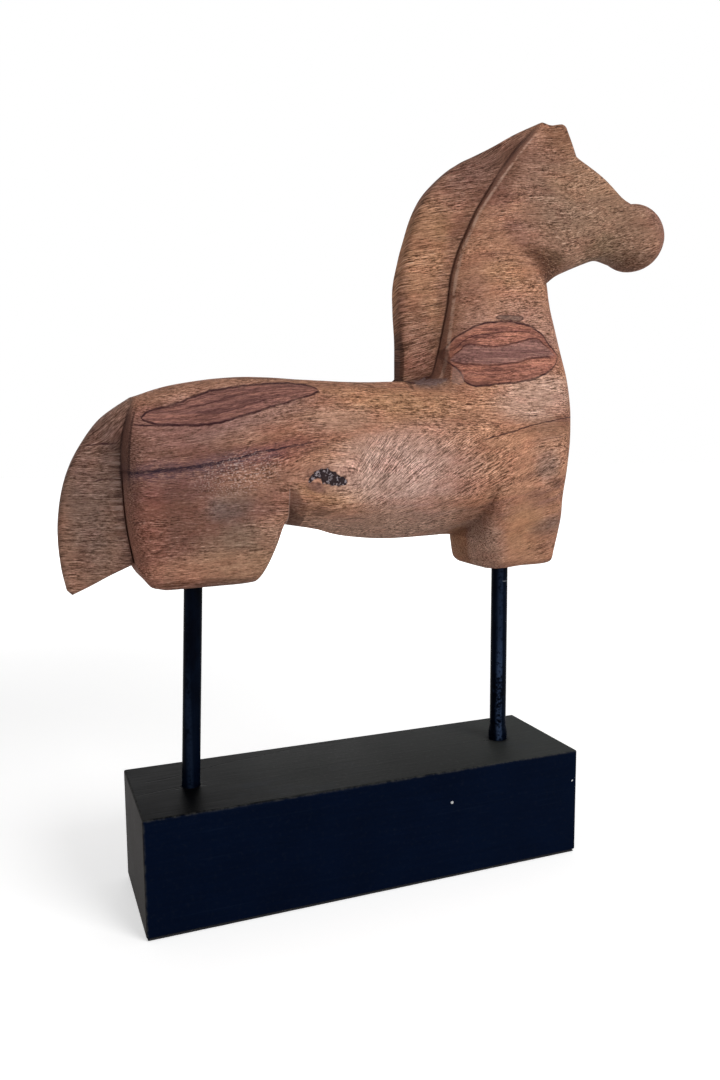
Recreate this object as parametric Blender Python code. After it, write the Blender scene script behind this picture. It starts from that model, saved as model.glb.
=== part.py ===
"""Carved wooden horse on two black rods over a painted block.

Units are metres, +Z is up and the horse faces +X.  The origin is the
middle of the felt's underside, where the figurine stands.  The horse is
drawn from the side in millimetres, then scaled to its own three sizes.
"""
import math

import bmesh
import bpy
import numpy as np
from mathutils import Vector
from mathutils.geometry import delaunay_2d_cdt

MM = 0.001

# The horse, and how its drawing is scaled
HORSE_LENGTH = 296.1 * MM
HORSE_THICKNESS = 58.0 * MM
HORSE_HEIGHT = 208.7 * MM
DRAWN_LENGTH, DRAWN_THICKNESS, DRAWN_HEIGHT = 296.1, 58.0, 208.7
ALONG = HORSE_LENGTH / DRAWN_LENGTH
ACROSS = HORSE_THICKNESS / DRAWN_THICKNESS
UP = HORSE_HEIGHT / DRAWN_HEIGHT

# Rods: places, lean and height of the horse drawing's zero line over the block
FRONT_ROD_DRAWN, REAR_ROD_DRAWN = 77.1, -78.5
FRONT_ROD_X = FRONT_ROD_DRAWN * ALONG
REAR_ROD_X = REAR_ROD_DRAWN * ALONG
REAR_ROD_LEAN = math.radians(2.3)
FOOT_GAP = 92.5 * MM

# Block and felt, which reach past the rods and the horse's sides
BLOCK_PAST_ROD = 26.2 * MM
BLOCK_PAST_SIDE = 1.0 * MM
BLOCK_LENGTH = FRONT_ROD_X - REAR_ROD_X + 2 * BLOCK_PAST_ROD
BLOCK_DEPTH = HORSE_THICKNESS + 2 * BLOCK_PAST_SIDE
BLOCK_TOP = 52.0 * MM
BLOCK_EDGE_ROUND = 0.8 * MM
FELT_THICKNESS = 1.0 * MM
FELT_INSET = 0.6 * MM

# What a rod is made of and what holds it
ROD_DIAMETER = 8.0 * MM
ROD_IN_HORSE = 26.0 * MM
ROD_END_CHAMFER = 0.6 * MM
COLLAR_DIAMETER = 9.2 * MM
COLLAR_HEIGHT = 8.0 * MM
COLLAR_TAPER = 4.0 * MM
NUT_ACROSS_FLATS = 13.0 * MM
NUT_HEIGHT = 6.5 * MM
WASHER_DIAMETER = 17.0 * MM
WASHER_THICKNESS = 1.6 * MM
ROD_PAST_NUT = 1.5 * MM
FIT = 0.3 * MM
SEAT_GAP = 0.3 * MM
RECESS_ROOM = 1.5 * MM
NUT_UNDER_BLOCK = 1.2 * MM
OVERCUT = 12.0 * MM

ROUND_SIDES = 32
ROUND_SMOOTH = 30.0
CARVING_SMOOTH = 35.0

# How closely the horse's surface is stepped, in millimetres
OUTLINE_STEP = 4.4
FINE_STEP = 1.5
CUT_STEP = 4.0
SURFACE_STEP = 6.0
EDGE_ROWS = (0.7, 2.4, 5.2, 9.0, 13.5, 18.5, 24.0)
SIDE_ROWS = (3.0, 6.5, 11.0)
CUT_WIDTH = 0.8
JOIN_WITHIN = 0.4

# The horse's side view, in millimetres from the zero line, which lies just above the soles
TAIL_UNDER = [(-101, 9.2), (-110, 4.7), (-119, -0.3), (-125, -3.3)]
TAIL_BACK = [(-127, -1.5), (-128.8, 8), (-129.5, 20), (-128.4, 33), (-125.4, 45), (-120, 56.4),
             (-111, 68.2), (-98.5, 77)]
RUMP_AND_BACK = [(-98.5, 77), (-80.4, 82.5), (-52, 85.7), (-11, 84.2), (21, 84.5)]
MANE_HEEL = [(21.6, 84.7), (21.7, 86.2)]
MANE_BACK = [(21.7, 86.2), (21.8, 102), (20.9, 117), (21.1, 128), (23.4, 139), (26.2, 148.5), (30.8, 161),
             (37.6, 171.4), (49.1, 181.8), (58.8, 187.2), (70.1, 193.2), (80.5, 199.2), (92, 204.6)]
EAR = [(92, 204.6), (96.8, 203.8), (102.8, 205.4), (105.2, 203.8)]
EAR_FRONT = [(105.2, 203.8), (108.7, 196.5), (111.2, 191.4)]
FACE = [(111.2, 191.4), (118, 188.4), (126, 184.4), (133, 180.3), (139.3, 176.2), (142.6, 174.6)]
MUZZLE_CENTRE = (150.4, 157.7)
MUZZLE_RADIUS = 16.2
MUZZLE_FROM, MUZZLE_TO = math.radians(106), math.radians(-122)
JAW = [(133, 146.1), (126.5, 144.9), (118, 142), (110, 138.8), (102, 135.2), (95, 130.2)]
NECK_AND_CHEST = [(95, 130.2), (96.4, 119.5), (100.7, 103), (105.6, 85), (107.7, 67), (107.3, 46),
                  (104.1, 28), (99.4, 14), (96.2, 4.5)]
FRONT_SOLE = [(96.2, 4.5), (95, 0.4), (92, -1.3), (78, -1.7), (65, -2.9), (61.6, -2.2), (60, 0.6), (58.8, 11)]
ELBOW_FOOT = [(58.8, 11), (58, 11)]
BELLY = [(58, 11), (42, 11.1), (18, 11.7), (-7, 15.1), (-20, 19), (-37.8, 22.6)]
HAUNCH_FOOT = [(-37.8, 22.6), (-38.6, 22.8)]
HIND_SOLE = [(-38.6, 22.8), (-42, 14.2), (-46, 6), (-50, 0.8), (-54, -0.8), (-70, -1.1), (-88, -1.2),
             (-92, -0.6), (-95.6, 0.4), (-98.4, 4.2), (-101, 9.2)]

# Lines carved into the side, and how each one falls away
MANE_CUT = [(21.6, 84.7), (28, 84.8), (33.6, 86), (35.4, 91), (37.6, 102), (40, 117), (41.4, 129),
            (44.8, 141), (49.2, 150.8), (55, 161.4), (66, 176), (80.2, 193), (92, 204.6)]
TAIL_CUT = [(-101, 9.2), (-103.3, 24), (-104.1, 40), (-103.8, 54), (-102.4, 66), (-98.5, 77)]
HAUNCH_FRONT = [(-38.6, 22.8), (-38.8, 31), (-38.6, 40)]
ELBOW = [(58.8, 11), (59.4, 21), (60.4, 36)]
STUMP_REAR = [(61.2, -2.4), (59.4, 4)] + ELBOW
MANE_REAR_HALF, MANE_FLARE = 5.4, 0.5
TAIL_REAR_HALF, TAIL_FLARE = 5.0, 0.33
THIN_EDGE_ROUND = 2.5
NECK_CUT_LEVEL, NECK_RISE = 12.2, 14.0
TAIL_CUT_LEVEL, HAUNCH_RISE = 11.5, 8.0
NOTCH_DEPTH, NOTCH_REACH = 3.5, 4.0
LEAST_HALF = 1.0

# How the front stump's rear edge is rounded on each side: depth and reach at its foot, and the
# heights over which the depth falls to the share left under the chest
NEAR_STUMP_ROUND, FAR_STUMP_ROUND = (10.0, 12.0), (3.0, 6.0)
STUMP_ROUND_FADE, STUMP_ROUND_LEFT = (16.0, 34.0), 0.3

# The belly's lower edge, from the haunch to the elbow: half width left there on the near and far
# side, where less than 0 lies past the middle, and how far up the bevel goes
NEAR_KEEL = (8.0, -17.5)
FAR_KEEL = (8.0, 19.5)
BEVEL_REACH = (13.0, 26.0)

# Where the mane's cut and thin edge die out, along x, and the tail's, up z
MANE_CUT_FADE, MANE_BLEND = (66, 92), (74, 93)
TAIL_CUT_FADE, TAIL_BLEND = (52, 72), (54, 75)
BACK_LINE = 80.0
TAIL_LIMIT = -96.0
MANE_REACH = 3.0

# Half widths of the carving at places on its side:
# x, z, half width, rounding of the edge, half of the flat edge
STATIONS = [(-95, 4, 24.5, 4, 19), (62, 2, 24.5, 3.5, 21),
            (-92, 45, 26, 14, 4), (-85, 70, 24, 16, 3), (-74, 36, 28, 14, 6), (-60, 56, 27.5, 18, 4),
            (-72, 5, 25.5, 7, 18), (-47, 20, 26, 7, 14), (-45, 78, 25.5, 14, 6), (-10, 78, 25.5, 12, 8),
            (15, 78, 25, 10, 9), (-15, 50, 27, 16, 5), (20, 40, 28, 16, 5), (60, 56, 29, 16, 5),
            (90, 60, 27.5, 18, 5), (100, 40, 26, 18, 5), (78, 4, 24, 6, 18), (66, 12, 25, 5, 19),
            (82, 22, 26, 10, 9), (70, 90, 26, 16, 5), (68, 115, 23.5, 14, 4), (72, 140, 21, 12, 4),
            (94, 160, 18.5, 12, 4), (115, 155, 15.5, 10, 3), (114, 178, 13.5, 8, 4), (95, 187, 13.5, 6, 5),
            (102, 198, 11.5, 3.5, 7), (135, 160, 11.5, 9, 2),
            (150.7, 158.6, 16, 16, 0.6)]
STATION_BLEND = 8.0

BARE_WOOD = (0.30, 0.155, 0.09)
BLACK_PAINT = (0.012, 0.013, 0.016)
BLACK_ROD = (0.010, 0.012, 0.018)
STEEL = (0.55, 0.56, 0.58)
FELT_BLACK = (0.02, 0.02, 0.022)


def clear_scene():
    for thing in list(bpy.data.objects):
        bpy.data.objects.remove(thing, do_unlink=True)


def material(name, colour, roughness, metallic=0.0):
    made = bpy.data.materials.new(name)
    made.use_nodes = True
    shader = made.node_tree.nodes["Principled BSDF"]
    shader.inputs["Base Color"].default_value = (*colour, 1.0)
    shader.inputs["Roughness"].default_value = roughness
    shader.inputs["Metallic"].default_value = metallic
    return made


def add_object(name, bm, finish, smooth_below=ROUND_SMOOTH):
    mesh = bpy.data.meshes.new(name)
    bm.to_mesh(mesh)
    bm.free()
    mesh.materials.append(finish)
    mesh.shade_smooth()
    mesh.set_sharp_from_angle(angle=math.radians(smooth_below))
    made = bpy.data.objects.new(name, mesh)
    bpy.context.collection.objects.link(made)
    return made


def add_cutter(name, bm):
    mesh = bpy.data.meshes.new(name)
    bm.to_mesh(mesh)
    bm.free()
    made = bpy.data.objects.new(name, mesh)
    made.hide_render = True
    made.display_type = "WIRE"
    bpy.context.collection.objects.link(made)
    return made


def cut(target, cutter):
    boolean = target.modifiers.new("cut_" + cutter.name, "BOOLEAN")
    boolean.operation = "DIFFERENCE"
    boolean.solver = "EXACT"
    boolean.object = cutter


def turned(profile, sides=ROUND_SIDES):
    """A closed solid turned about Z from (radius, height) pairs, bottom to top."""
    bm = bmesh.new()
    rings = []
    for radius, height in profile:
        angles = [2 * math.pi * i / sides for i in range(sides)]
        rings.append([bm.verts.new((radius * math.cos(a), radius * math.sin(a), height)) for a in angles])
    for low, high in zip(rings, rings[1:]):
        for i in range(sides):
            j = (i + 1) % sides
            bm.faces.new((low[i], low[j], high[j], high[i]))
    bm.faces.new(rings[0][::-1])
    bm.faces.new(rings[-1])
    return bm


def smooth_line(points, step):
    """Points about one step apart on a smooth curve through the given ones."""
    pts = np.array(points, float)
    pts = np.vstack([2 * pts[0] - pts[1], pts, 2 * pts[-1] - pts[-2]])
    dense = []
    for a, b, c, d in zip(pts, pts[1:], pts[2:], pts[3:]):
        for t in np.linspace(0, 1, 12, endpoint=False):
            dense.append(0.5 * (2 * b + (c - a) * t + (2 * a - 5 * b + 4 * c - d) * t ** 2
                                + (3 * b - a - 3 * c + d) * t ** 3))
    dense = np.array(dense + [pts[-2]])
    along = np.concatenate([[0], np.cumsum(np.linalg.norm(np.diff(dense, axis=0), axis=1))])
    count = max(2, int(round(along[-1] / step)) + 1)
    wanted = np.linspace(0, along[-1], count)
    return np.stack([np.interp(wanted, along, dense[:, k]) for k in (0, 1)], axis=1)


def muzzle_line(step):
    count = int(round(MUZZLE_RADIUS * (MUZZLE_FROM - MUZZLE_TO) / step)) + 1
    angles = np.linspace(MUZZLE_FROM, MUZZLE_TO, count)
    return np.stack([MUZZLE_CENTRE[0] + MUZZLE_RADIUS * np.cos(angles),
                     MUZZLE_CENTRE[1] + MUZZLE_RADIUS * np.sin(angles)], axis=1)


def side_outline(step):
    """The whole side view as one clockwise loop."""
    muzzle = muzzle_line(step)
    face = FACE + [tuple(muzzle[0])]
    jaw = [tuple(muzzle[-1])] + JAW
    back = (TAIL_UNDER, TAIL_BACK, RUMP_AND_BACK, MANE_HEEL, MANE_BACK, EAR, EAR_FRONT, face)
    front = (jaw, NECK_AND_CHEST, FRONT_SOLE, ELBOW_FOOT, BELLY, HAUNCH_FOOT, HIND_SOLE)
    lines = [smooth_line(line, step) for line in back] + [muzzle]
    lines += [smooth_line(line, step) for line in front]
    loop = []
    for point in np.vstack(lines):
        if not loop or np.linalg.norm(point - loop[-1]) > JOIN_WITHIN:
            loop.append(point)
    if np.linalg.norm(loop[0] - loop[-1]) < JOIN_WITHIN:
        loop.pop()
    return np.array(loop)


def distance(points, line, closed=False):
    """Distance from each point to a line, positive on the line's right hand."""
    if closed:
        line = np.vstack([line, line[:1]])
    start, run = line[:-1], np.diff(line, axis=0)
    best = np.full(len(points), 1e9)
    side = np.ones(len(points))
    for a, ab in zip(start, run):
        ap = points - a
        t = np.clip(ap @ ab / (ab @ ab), 0, 1)
        gap = np.linalg.norm(ap - t[:, None] * ab, axis=1)
        turn = ab[1] * ap[:, 0] - ab[0] * ap[:, 1]
        nearer = gap < best
        best = np.where(nearer, gap, best)
        side = np.where(nearer, np.sign(turn), side)
    return best * side


def arc(share):
    """Rises from 0 to 1 as a quarter of a circle does."""
    share = np.clip(share, 0, 1)
    return np.sqrt(1 - (1 - share) ** 2)


def bevelled(share):
    """Rises from 0 to 1 and lands level."""
    return 1 - (1 - np.clip(share, 0, 1)) ** 2


def between(ends, share):
    return ends[0] + (ends[1] - ends[0]) * share


def ramp(value, low, high):
    share = np.clip((value - low) / (high - low), 0, 1)
    return share * share * (3 - 2 * share)


def station_values(points):
    table = np.array(STATIONS, float)
    gap = np.sum((points[:, None, :] - table[None, :, :2]) ** 2, axis=2)
    weight = 1 / (gap + STATION_BLEND ** 2) ** 2
    weight /= weight.sum(axis=1, keepdims=True)
    return (weight @ table[:, 2:]).T


def sink(width, gap, level, reach, amount=1.0):
    """Lowers the surface to a level along a carved line."""
    low = np.minimum(level, width)
    return width + amount * (low + (width - low) * arc(gap / reach) - width)


def half_width(points, lines, keel_ends, stump_round):
    """How far the carving reaches from its middle to one side, at points of the side view."""
    x, z = points[:, 0], points[:, 1]
    edge = np.maximum(distance(points, lines["outline"], closed=True), 0)
    width, rounding, flat = station_values(points)
    flat = np.minimum(flat, width)
    block = flat + (width - flat) * arc(edge / rounding)

    mane_side = distance(points, lines["mane_cut"])
    tail_side = distance(points, lines["tail_cut"])
    body = sink(block, np.abs(mane_side), NECK_CUT_LEVEL, NECK_RISE, 1 - ramp(x, *MANE_CUT_FADE))
    body = sink(body, np.abs(tail_side), TAIL_CUT_LEVEL, HAUNCH_RISE, 1 - ramp(z, *TAIL_CUT_FADE))

    under = np.maximum(distance(points, lines["belly"]), 0)
    haunch_side = distance(points, lines["haunch_front"])
    elbow_side = distance(points, lines["elbow"])
    share = np.clip((x - BELLY[-1][0]) / (BELLY[0][0] - BELLY[-1][0]), 0, 1)
    keel = between(keel_ends, share)
    belly = keel + (width - keel) * bevelled(under / between(BEVEL_REACH, share))
    belly = sink(belly, haunch_side, belly - NOTCH_DEPTH, NOTCH_REACH)
    is_belly = (haunch_side > CUT_WIDTH / 2) & (elbow_side < -CUT_WIDTH / 2) & (under < BEVEL_REACH[1])
    depth, reach = stump_round
    amount = 1 - (1 - STUMP_ROUND_LEFT) * ramp(z, *STUMP_ROUND_FADE)
    rounded = sink(body, distance(points, lines["stump_rear"]), body - depth, reach, amount)
    body = np.where(elbow_side > -CUT_WIDTH / 2, rounded, body)

    thin_edge = THIN_EDGE_ROUND * (1 - arc(edge / THIN_EDGE_ROUND))
    mane = MANE_REAR_HALF + MANE_FLARE * np.abs(distance(points, lines["mane_back"])) - thin_edge
    mane = mane + (block - mane) * ramp(x, *MANE_BLEND)
    tail = TAIL_REAR_HALF + TAIL_FLARE * np.abs(distance(points, lines["tail_back"])) - thin_edge
    tail = tail + (block - tail) * ramp(z, *TAIL_BLEND)
    above_back = (z > BACK_LINE) & (x > MANE_BACK[0][0] - MANE_REACH) & (x < MANE_BACK[-1][0])
    is_mane = above_back & (mane_side < -CUT_WIDTH / 2)
    is_tail = (x < TAIL_LIMIT) & (tail_side < -CUT_WIDTH / 2)
    half = np.maximum(np.where(is_mane, mane, np.where(is_tail, tail, body)), LEAST_HALF)
    return np.where(is_belly, belly, half)


def shifted(line, offset):
    """The line moved to its left hand by an offset."""
    run = np.gradient(line, axis=0)
    run /= np.linalg.norm(run, axis=1, keepdims=True)
    return line + offset * np.stack([-run[:, 1], run[:, 0]], axis=1)


def spread_points(outline, cuts):
    """Points over the side view: rows along its edge and cuts, an even field elsewhere."""
    chains = [outline] + cuts
    kept = np.vstack(chains)
    inward = np.roll(outline, -1, axis=0) - np.roll(outline, 1, axis=0)
    inward = np.stack([inward[:, 1], -inward[:, 0]], axis=1)
    inward /= np.linalg.norm(inward, axis=1, keepdims=True)
    last_row = 0
    batches = []
    for row in EDGE_ROWS:
        batches.append((outline + row * inward, 0.9 * row, 0.55 * (row - last_row)))
        last_row = row
    for row in SIDE_ROWS:
        for cut_line in cuts[::2]:
            batches.append((shifted(cut_line, -row), EDGE_ROWS[1], 0.55 * OUTLINE_STEP))
    low, high = outline.min(axis=0), outline.max(axis=0)
    field = []
    for j, z in enumerate(np.arange(low[1], high[1], SURFACE_STEP * math.sqrt(0.75))):
        for x in np.arange(low[0] + (j % 2) * SURFACE_STEP / 2, high[0], SURFACE_STEP):
            field.append((x, z))
    batches.append((np.array(field), EDGE_ROWS[1], 0.72 * SURFACE_STEP))
    for batch, least_depth, room in batches:
        deep = distance(batch, outline, closed=True) > least_depth
        clear = np.min([np.abs(distance(batch, line)) for line in cuts], axis=0) > CUT_WIDTH
        for point in batch[deep & clear]:
            if np.linalg.norm(kept - point, axis=1).min() > room:
                kept = np.vstack([kept, point])
    return kept, chains


def horse_mesh():
    outline = side_outline(OUTLINE_STEP)
    lines = {"outline": side_outline(FINE_STEP)}
    drawn = {"mane_cut": MANE_CUT, "tail_cut": TAIL_CUT, "mane_back": MANE_BACK, "tail_back": TAIL_BACK,
             "belly": BELLY, "haunch_front": HAUNCH_FRONT, "elbow": ELBOW, "stump_rear": STUMP_REAR}
    for name, points in drawn.items():
        lines[name] = smooth_line(points, FINE_STEP)
    cuts = []
    for line, left in ((MANE_CUT, 1), (TAIL_CUT, 1), (HAUNCH_FRONT, -1), (ELBOW, 1)):
        trimmed = smooth_line(line, CUT_STEP)[1:-1]
        cuts += [trimmed, shifted(trimmed, left * CUT_WIDTH)]
    points, chains = spread_points(outline, cuts)

    edges = []
    first = 0
    for index, chain in enumerate(chains):
        edges += [(first + i, first + i + 1) for i in range(len(chain) - 1)]
        if index == 0:
            edges.append((len(chain) - 1, 0))
        first += len(chain)
    flat, _, faces, origin, _, _ = delaunay_2d_cdt([Vector(p) for p in points], edges, [], 1, 1e-5)
    flat = np.array([tuple(p) for p in flat])
    rim = len(outline)
    near = half_width(flat, lines, NEAR_KEEL, NEAR_STUMP_ROUND)
    far = half_width(flat, lines, FAR_KEEL, FAR_STUMP_ROUND)
    sides = [(-1, near), (1, far)]

    bm = bmesh.new()
    near, far = [[bm.verts.new((x * ALONG, side * y * ACROSS, z * UP)) for (x, z), y in zip(flat, halves)]
                 for side, halves in sides]
    for face in faces:
        bm.faces.new([near[i] for i in face])
        bm.faces.new([far[i] for i in reversed(face)])
    place = {old: new for new, olds in enumerate(origin) for old in olds}
    for i in range(rim):
        a, b = place[i], place[(i + 1) % rim]
        bm.faces.new((near[a], near[b], far[b], far[a]))
    bmesh.ops.recalc_face_normals(bm, faces=bm.faces)
    bmesh.ops.triangulate(bm, faces=bm.faces)
    return bm


def washer_mesh(hole, top):
    """A flat ring about Z, with its upper face at the given height."""
    bm = bmesh.new()
    outer = WASHER_DIAMETER / 2
    low = top - WASHER_THICKNESS
    rings = []
    for i in range(ROUND_SIDES):
        a = 2 * math.pi * i / ROUND_SIDES
        rings.append([bm.verts.new((r * math.cos(a), r * math.sin(a), z))
                      for r, z in ((hole, low), (outer, low), (outer, top), (hole, top))])
    for i in range(ROUND_SIDES):
        here, after = rings[i], rings[(i + 1) % ROUND_SIDES]
        for k in range(4):
            m = (k + 1) % 4
            bm.faces.new((here[k], after[k], after[m], here[m]))
    bmesh.ops.recalc_face_normals(bm, faces=bm.faces)
    return bm


def block_mesh(length, depth, low, high, edge_round=0.0):
    bm = bmesh.new()
    bmesh.ops.create_cube(bm, size=1.0)
    bmesh.ops.scale(bm, vec=(length, depth, high - low), verts=bm.verts)
    bmesh.ops.translate(bm, vec=(0, 0, (low + high) / 2), verts=bm.verts)
    if edge_round:
        bmesh.ops.bevel(bm, geom=bm.edges[:], offset=edge_round, segments=3, profile=0.5, affect="EDGES")
    return bm


def add_rod(end, x, lean, horse, block, black_rod, steel):
    """One rod with its washer and nut, and the holes they need.

    Heights are measured along the rod from the block's top.
    """
    radius = ROD_DIAMETER / 2
    hole = radius + FIT
    rod_bottom = FELT_THICKNESS + SEAT_GAP - BLOCK_TOP + NUT_UNDER_BLOCK
    nut_low = rod_bottom + ROD_PAST_NUT
    nut_high = nut_low + NUT_HEIGHT
    washer_high = nut_high + SEAT_GAP + WASHER_THICKNESS
    recess_floor = washer_high + SEAT_GAP
    rod_top = FOOT_GAP / math.cos(lean) + ROD_IN_HORSE

    profile = [(radius - ROD_END_CHAMFER, rod_bottom), (radius, rod_bottom + ROD_END_CHAMFER)]
    if end == "front":
        collar = COLLAR_DIAMETER / 2
        profile += [(radius, SEAT_GAP), (collar, SEAT_GAP)]
        profile += [(collar, COLLAR_HEIGHT - COLLAR_TAPER), (radius, COLLAR_HEIGHT)]
    profile += [(radius, rod_top - ROD_END_CHAMFER), (radius - ROD_END_CHAMFER, rod_top)]
    rod = add_object(end + "_rod", turned(profile), black_rod)
    washer = add_object(end + "_washer", washer_mesh(hole, washer_high), steel)
    corner = NUT_ACROSS_FLATS / 2 / math.cos(math.pi / 6)
    nut = add_object(end + "_nut", turned([(corner, nut_low), (corner, nut_high)], sides=6), steel)

    nut_hole = add_cutter(end + "_nut_hole", turned([(hole, nut_low - OVERCUT), (hole, nut_high + OVERCUT)]))
    socket = add_cutter(end + "_socket", turned([(hole, FOOT_GAP - OVERCUT), (hole, rod_top + SEAT_GAP)]))
    recess = WASHER_DIAMETER / 2 + RECESS_ROOM
    stepped = [(recess, rod_bottom - OVERCUT), (recess, recess_floor), (hole, recess_floor), (hole, OVERCUT)]
    bore = add_cutter(end + "_bore", turned(stepped))
    for piece in (rod, washer, nut, nut_hole, socket, bore):
        piece.location = (x, 0, BLOCK_TOP)
        piece.rotation_euler = (0, lean, 0)
    cut(nut, nut_hole)
    cut(horse, socket)
    cut(block, bore)


def build():
    clear_scene()
    wood = material("carved_wood", BARE_WOOD, 0.62)
    black_wood = material("black_painted_wood", BLACK_PAINT, 0.42)
    black_rod = material("black_painted_steel", BLACK_ROD, 0.28)
    steel = material("zinc_steel", STEEL, 0.35, 1.0)
    felt = material("black_felt", FELT_BLACK, 0.95)

    horse = add_object("horse_carving", horse_mesh(), wood, CARVING_SMOOTH)
    horse.location.z = BLOCK_TOP + FOOT_GAP
    block_low = FELT_THICKNESS + SEAT_GAP
    sawn = block_mesh(BLOCK_LENGTH, BLOCK_DEPTH, block_low, BLOCK_TOP, BLOCK_EDGE_ROUND)
    block = add_object("base_block", sawn, black_wood)
    sheet = block_mesh(BLOCK_LENGTH - 2 * FELT_INSET, BLOCK_DEPTH - 2 * FELT_INSET, 0, FELT_THICKNESS)
    add_object("felt_sheet", sheet, felt)
    add_rod("rear", REAR_ROD_X, REAR_ROD_LEAN, horse, block, black_rod, steel)
    add_rod("front", FRONT_ROD_X, 0.0, horse, block, black_rod, steel)


build()
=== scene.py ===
import math

import bpy
import numpy as np
from mathutils import Matrix, Vector
from mathutils.geometry import delaunay_2d_cdt


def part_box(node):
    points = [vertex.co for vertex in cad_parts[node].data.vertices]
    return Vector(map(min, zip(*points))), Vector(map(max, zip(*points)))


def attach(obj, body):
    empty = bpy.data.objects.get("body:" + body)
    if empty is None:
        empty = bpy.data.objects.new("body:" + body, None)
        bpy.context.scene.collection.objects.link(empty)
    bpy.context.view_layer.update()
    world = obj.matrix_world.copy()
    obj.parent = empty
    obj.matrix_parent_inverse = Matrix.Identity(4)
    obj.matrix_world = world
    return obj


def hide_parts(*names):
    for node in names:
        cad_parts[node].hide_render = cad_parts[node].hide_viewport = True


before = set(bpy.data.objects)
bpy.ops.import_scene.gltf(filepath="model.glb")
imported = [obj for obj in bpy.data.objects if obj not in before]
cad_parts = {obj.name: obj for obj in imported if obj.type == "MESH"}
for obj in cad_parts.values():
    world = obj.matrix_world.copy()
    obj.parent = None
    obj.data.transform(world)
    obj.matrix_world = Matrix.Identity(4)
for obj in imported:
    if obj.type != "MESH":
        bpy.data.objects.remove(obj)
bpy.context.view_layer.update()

mm = 0.001


# Shader building: one wrapped socket, and one bench that places nodes

class Wire:
    def __init__(self, bench, socket):
        self.bench, self.socket = bench, socket

    def __add__(self, other):
        return self.bench.maths("ADD", self, other)

    def __sub__(self, other):
        return self.bench.maths("SUBTRACT", self, other)

    def __rsub__(self, other):
        return self.bench.maths("SUBTRACT", other, self)

    def __mul__(self, other):
        return self.bench.maths("MULTIPLY", self, other)

    def __truediv__(self, other):
        return self.bench.maths("DIVIDE", self, other)

    __radd__ = __add__
    __rmul__ = __mul__


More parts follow.
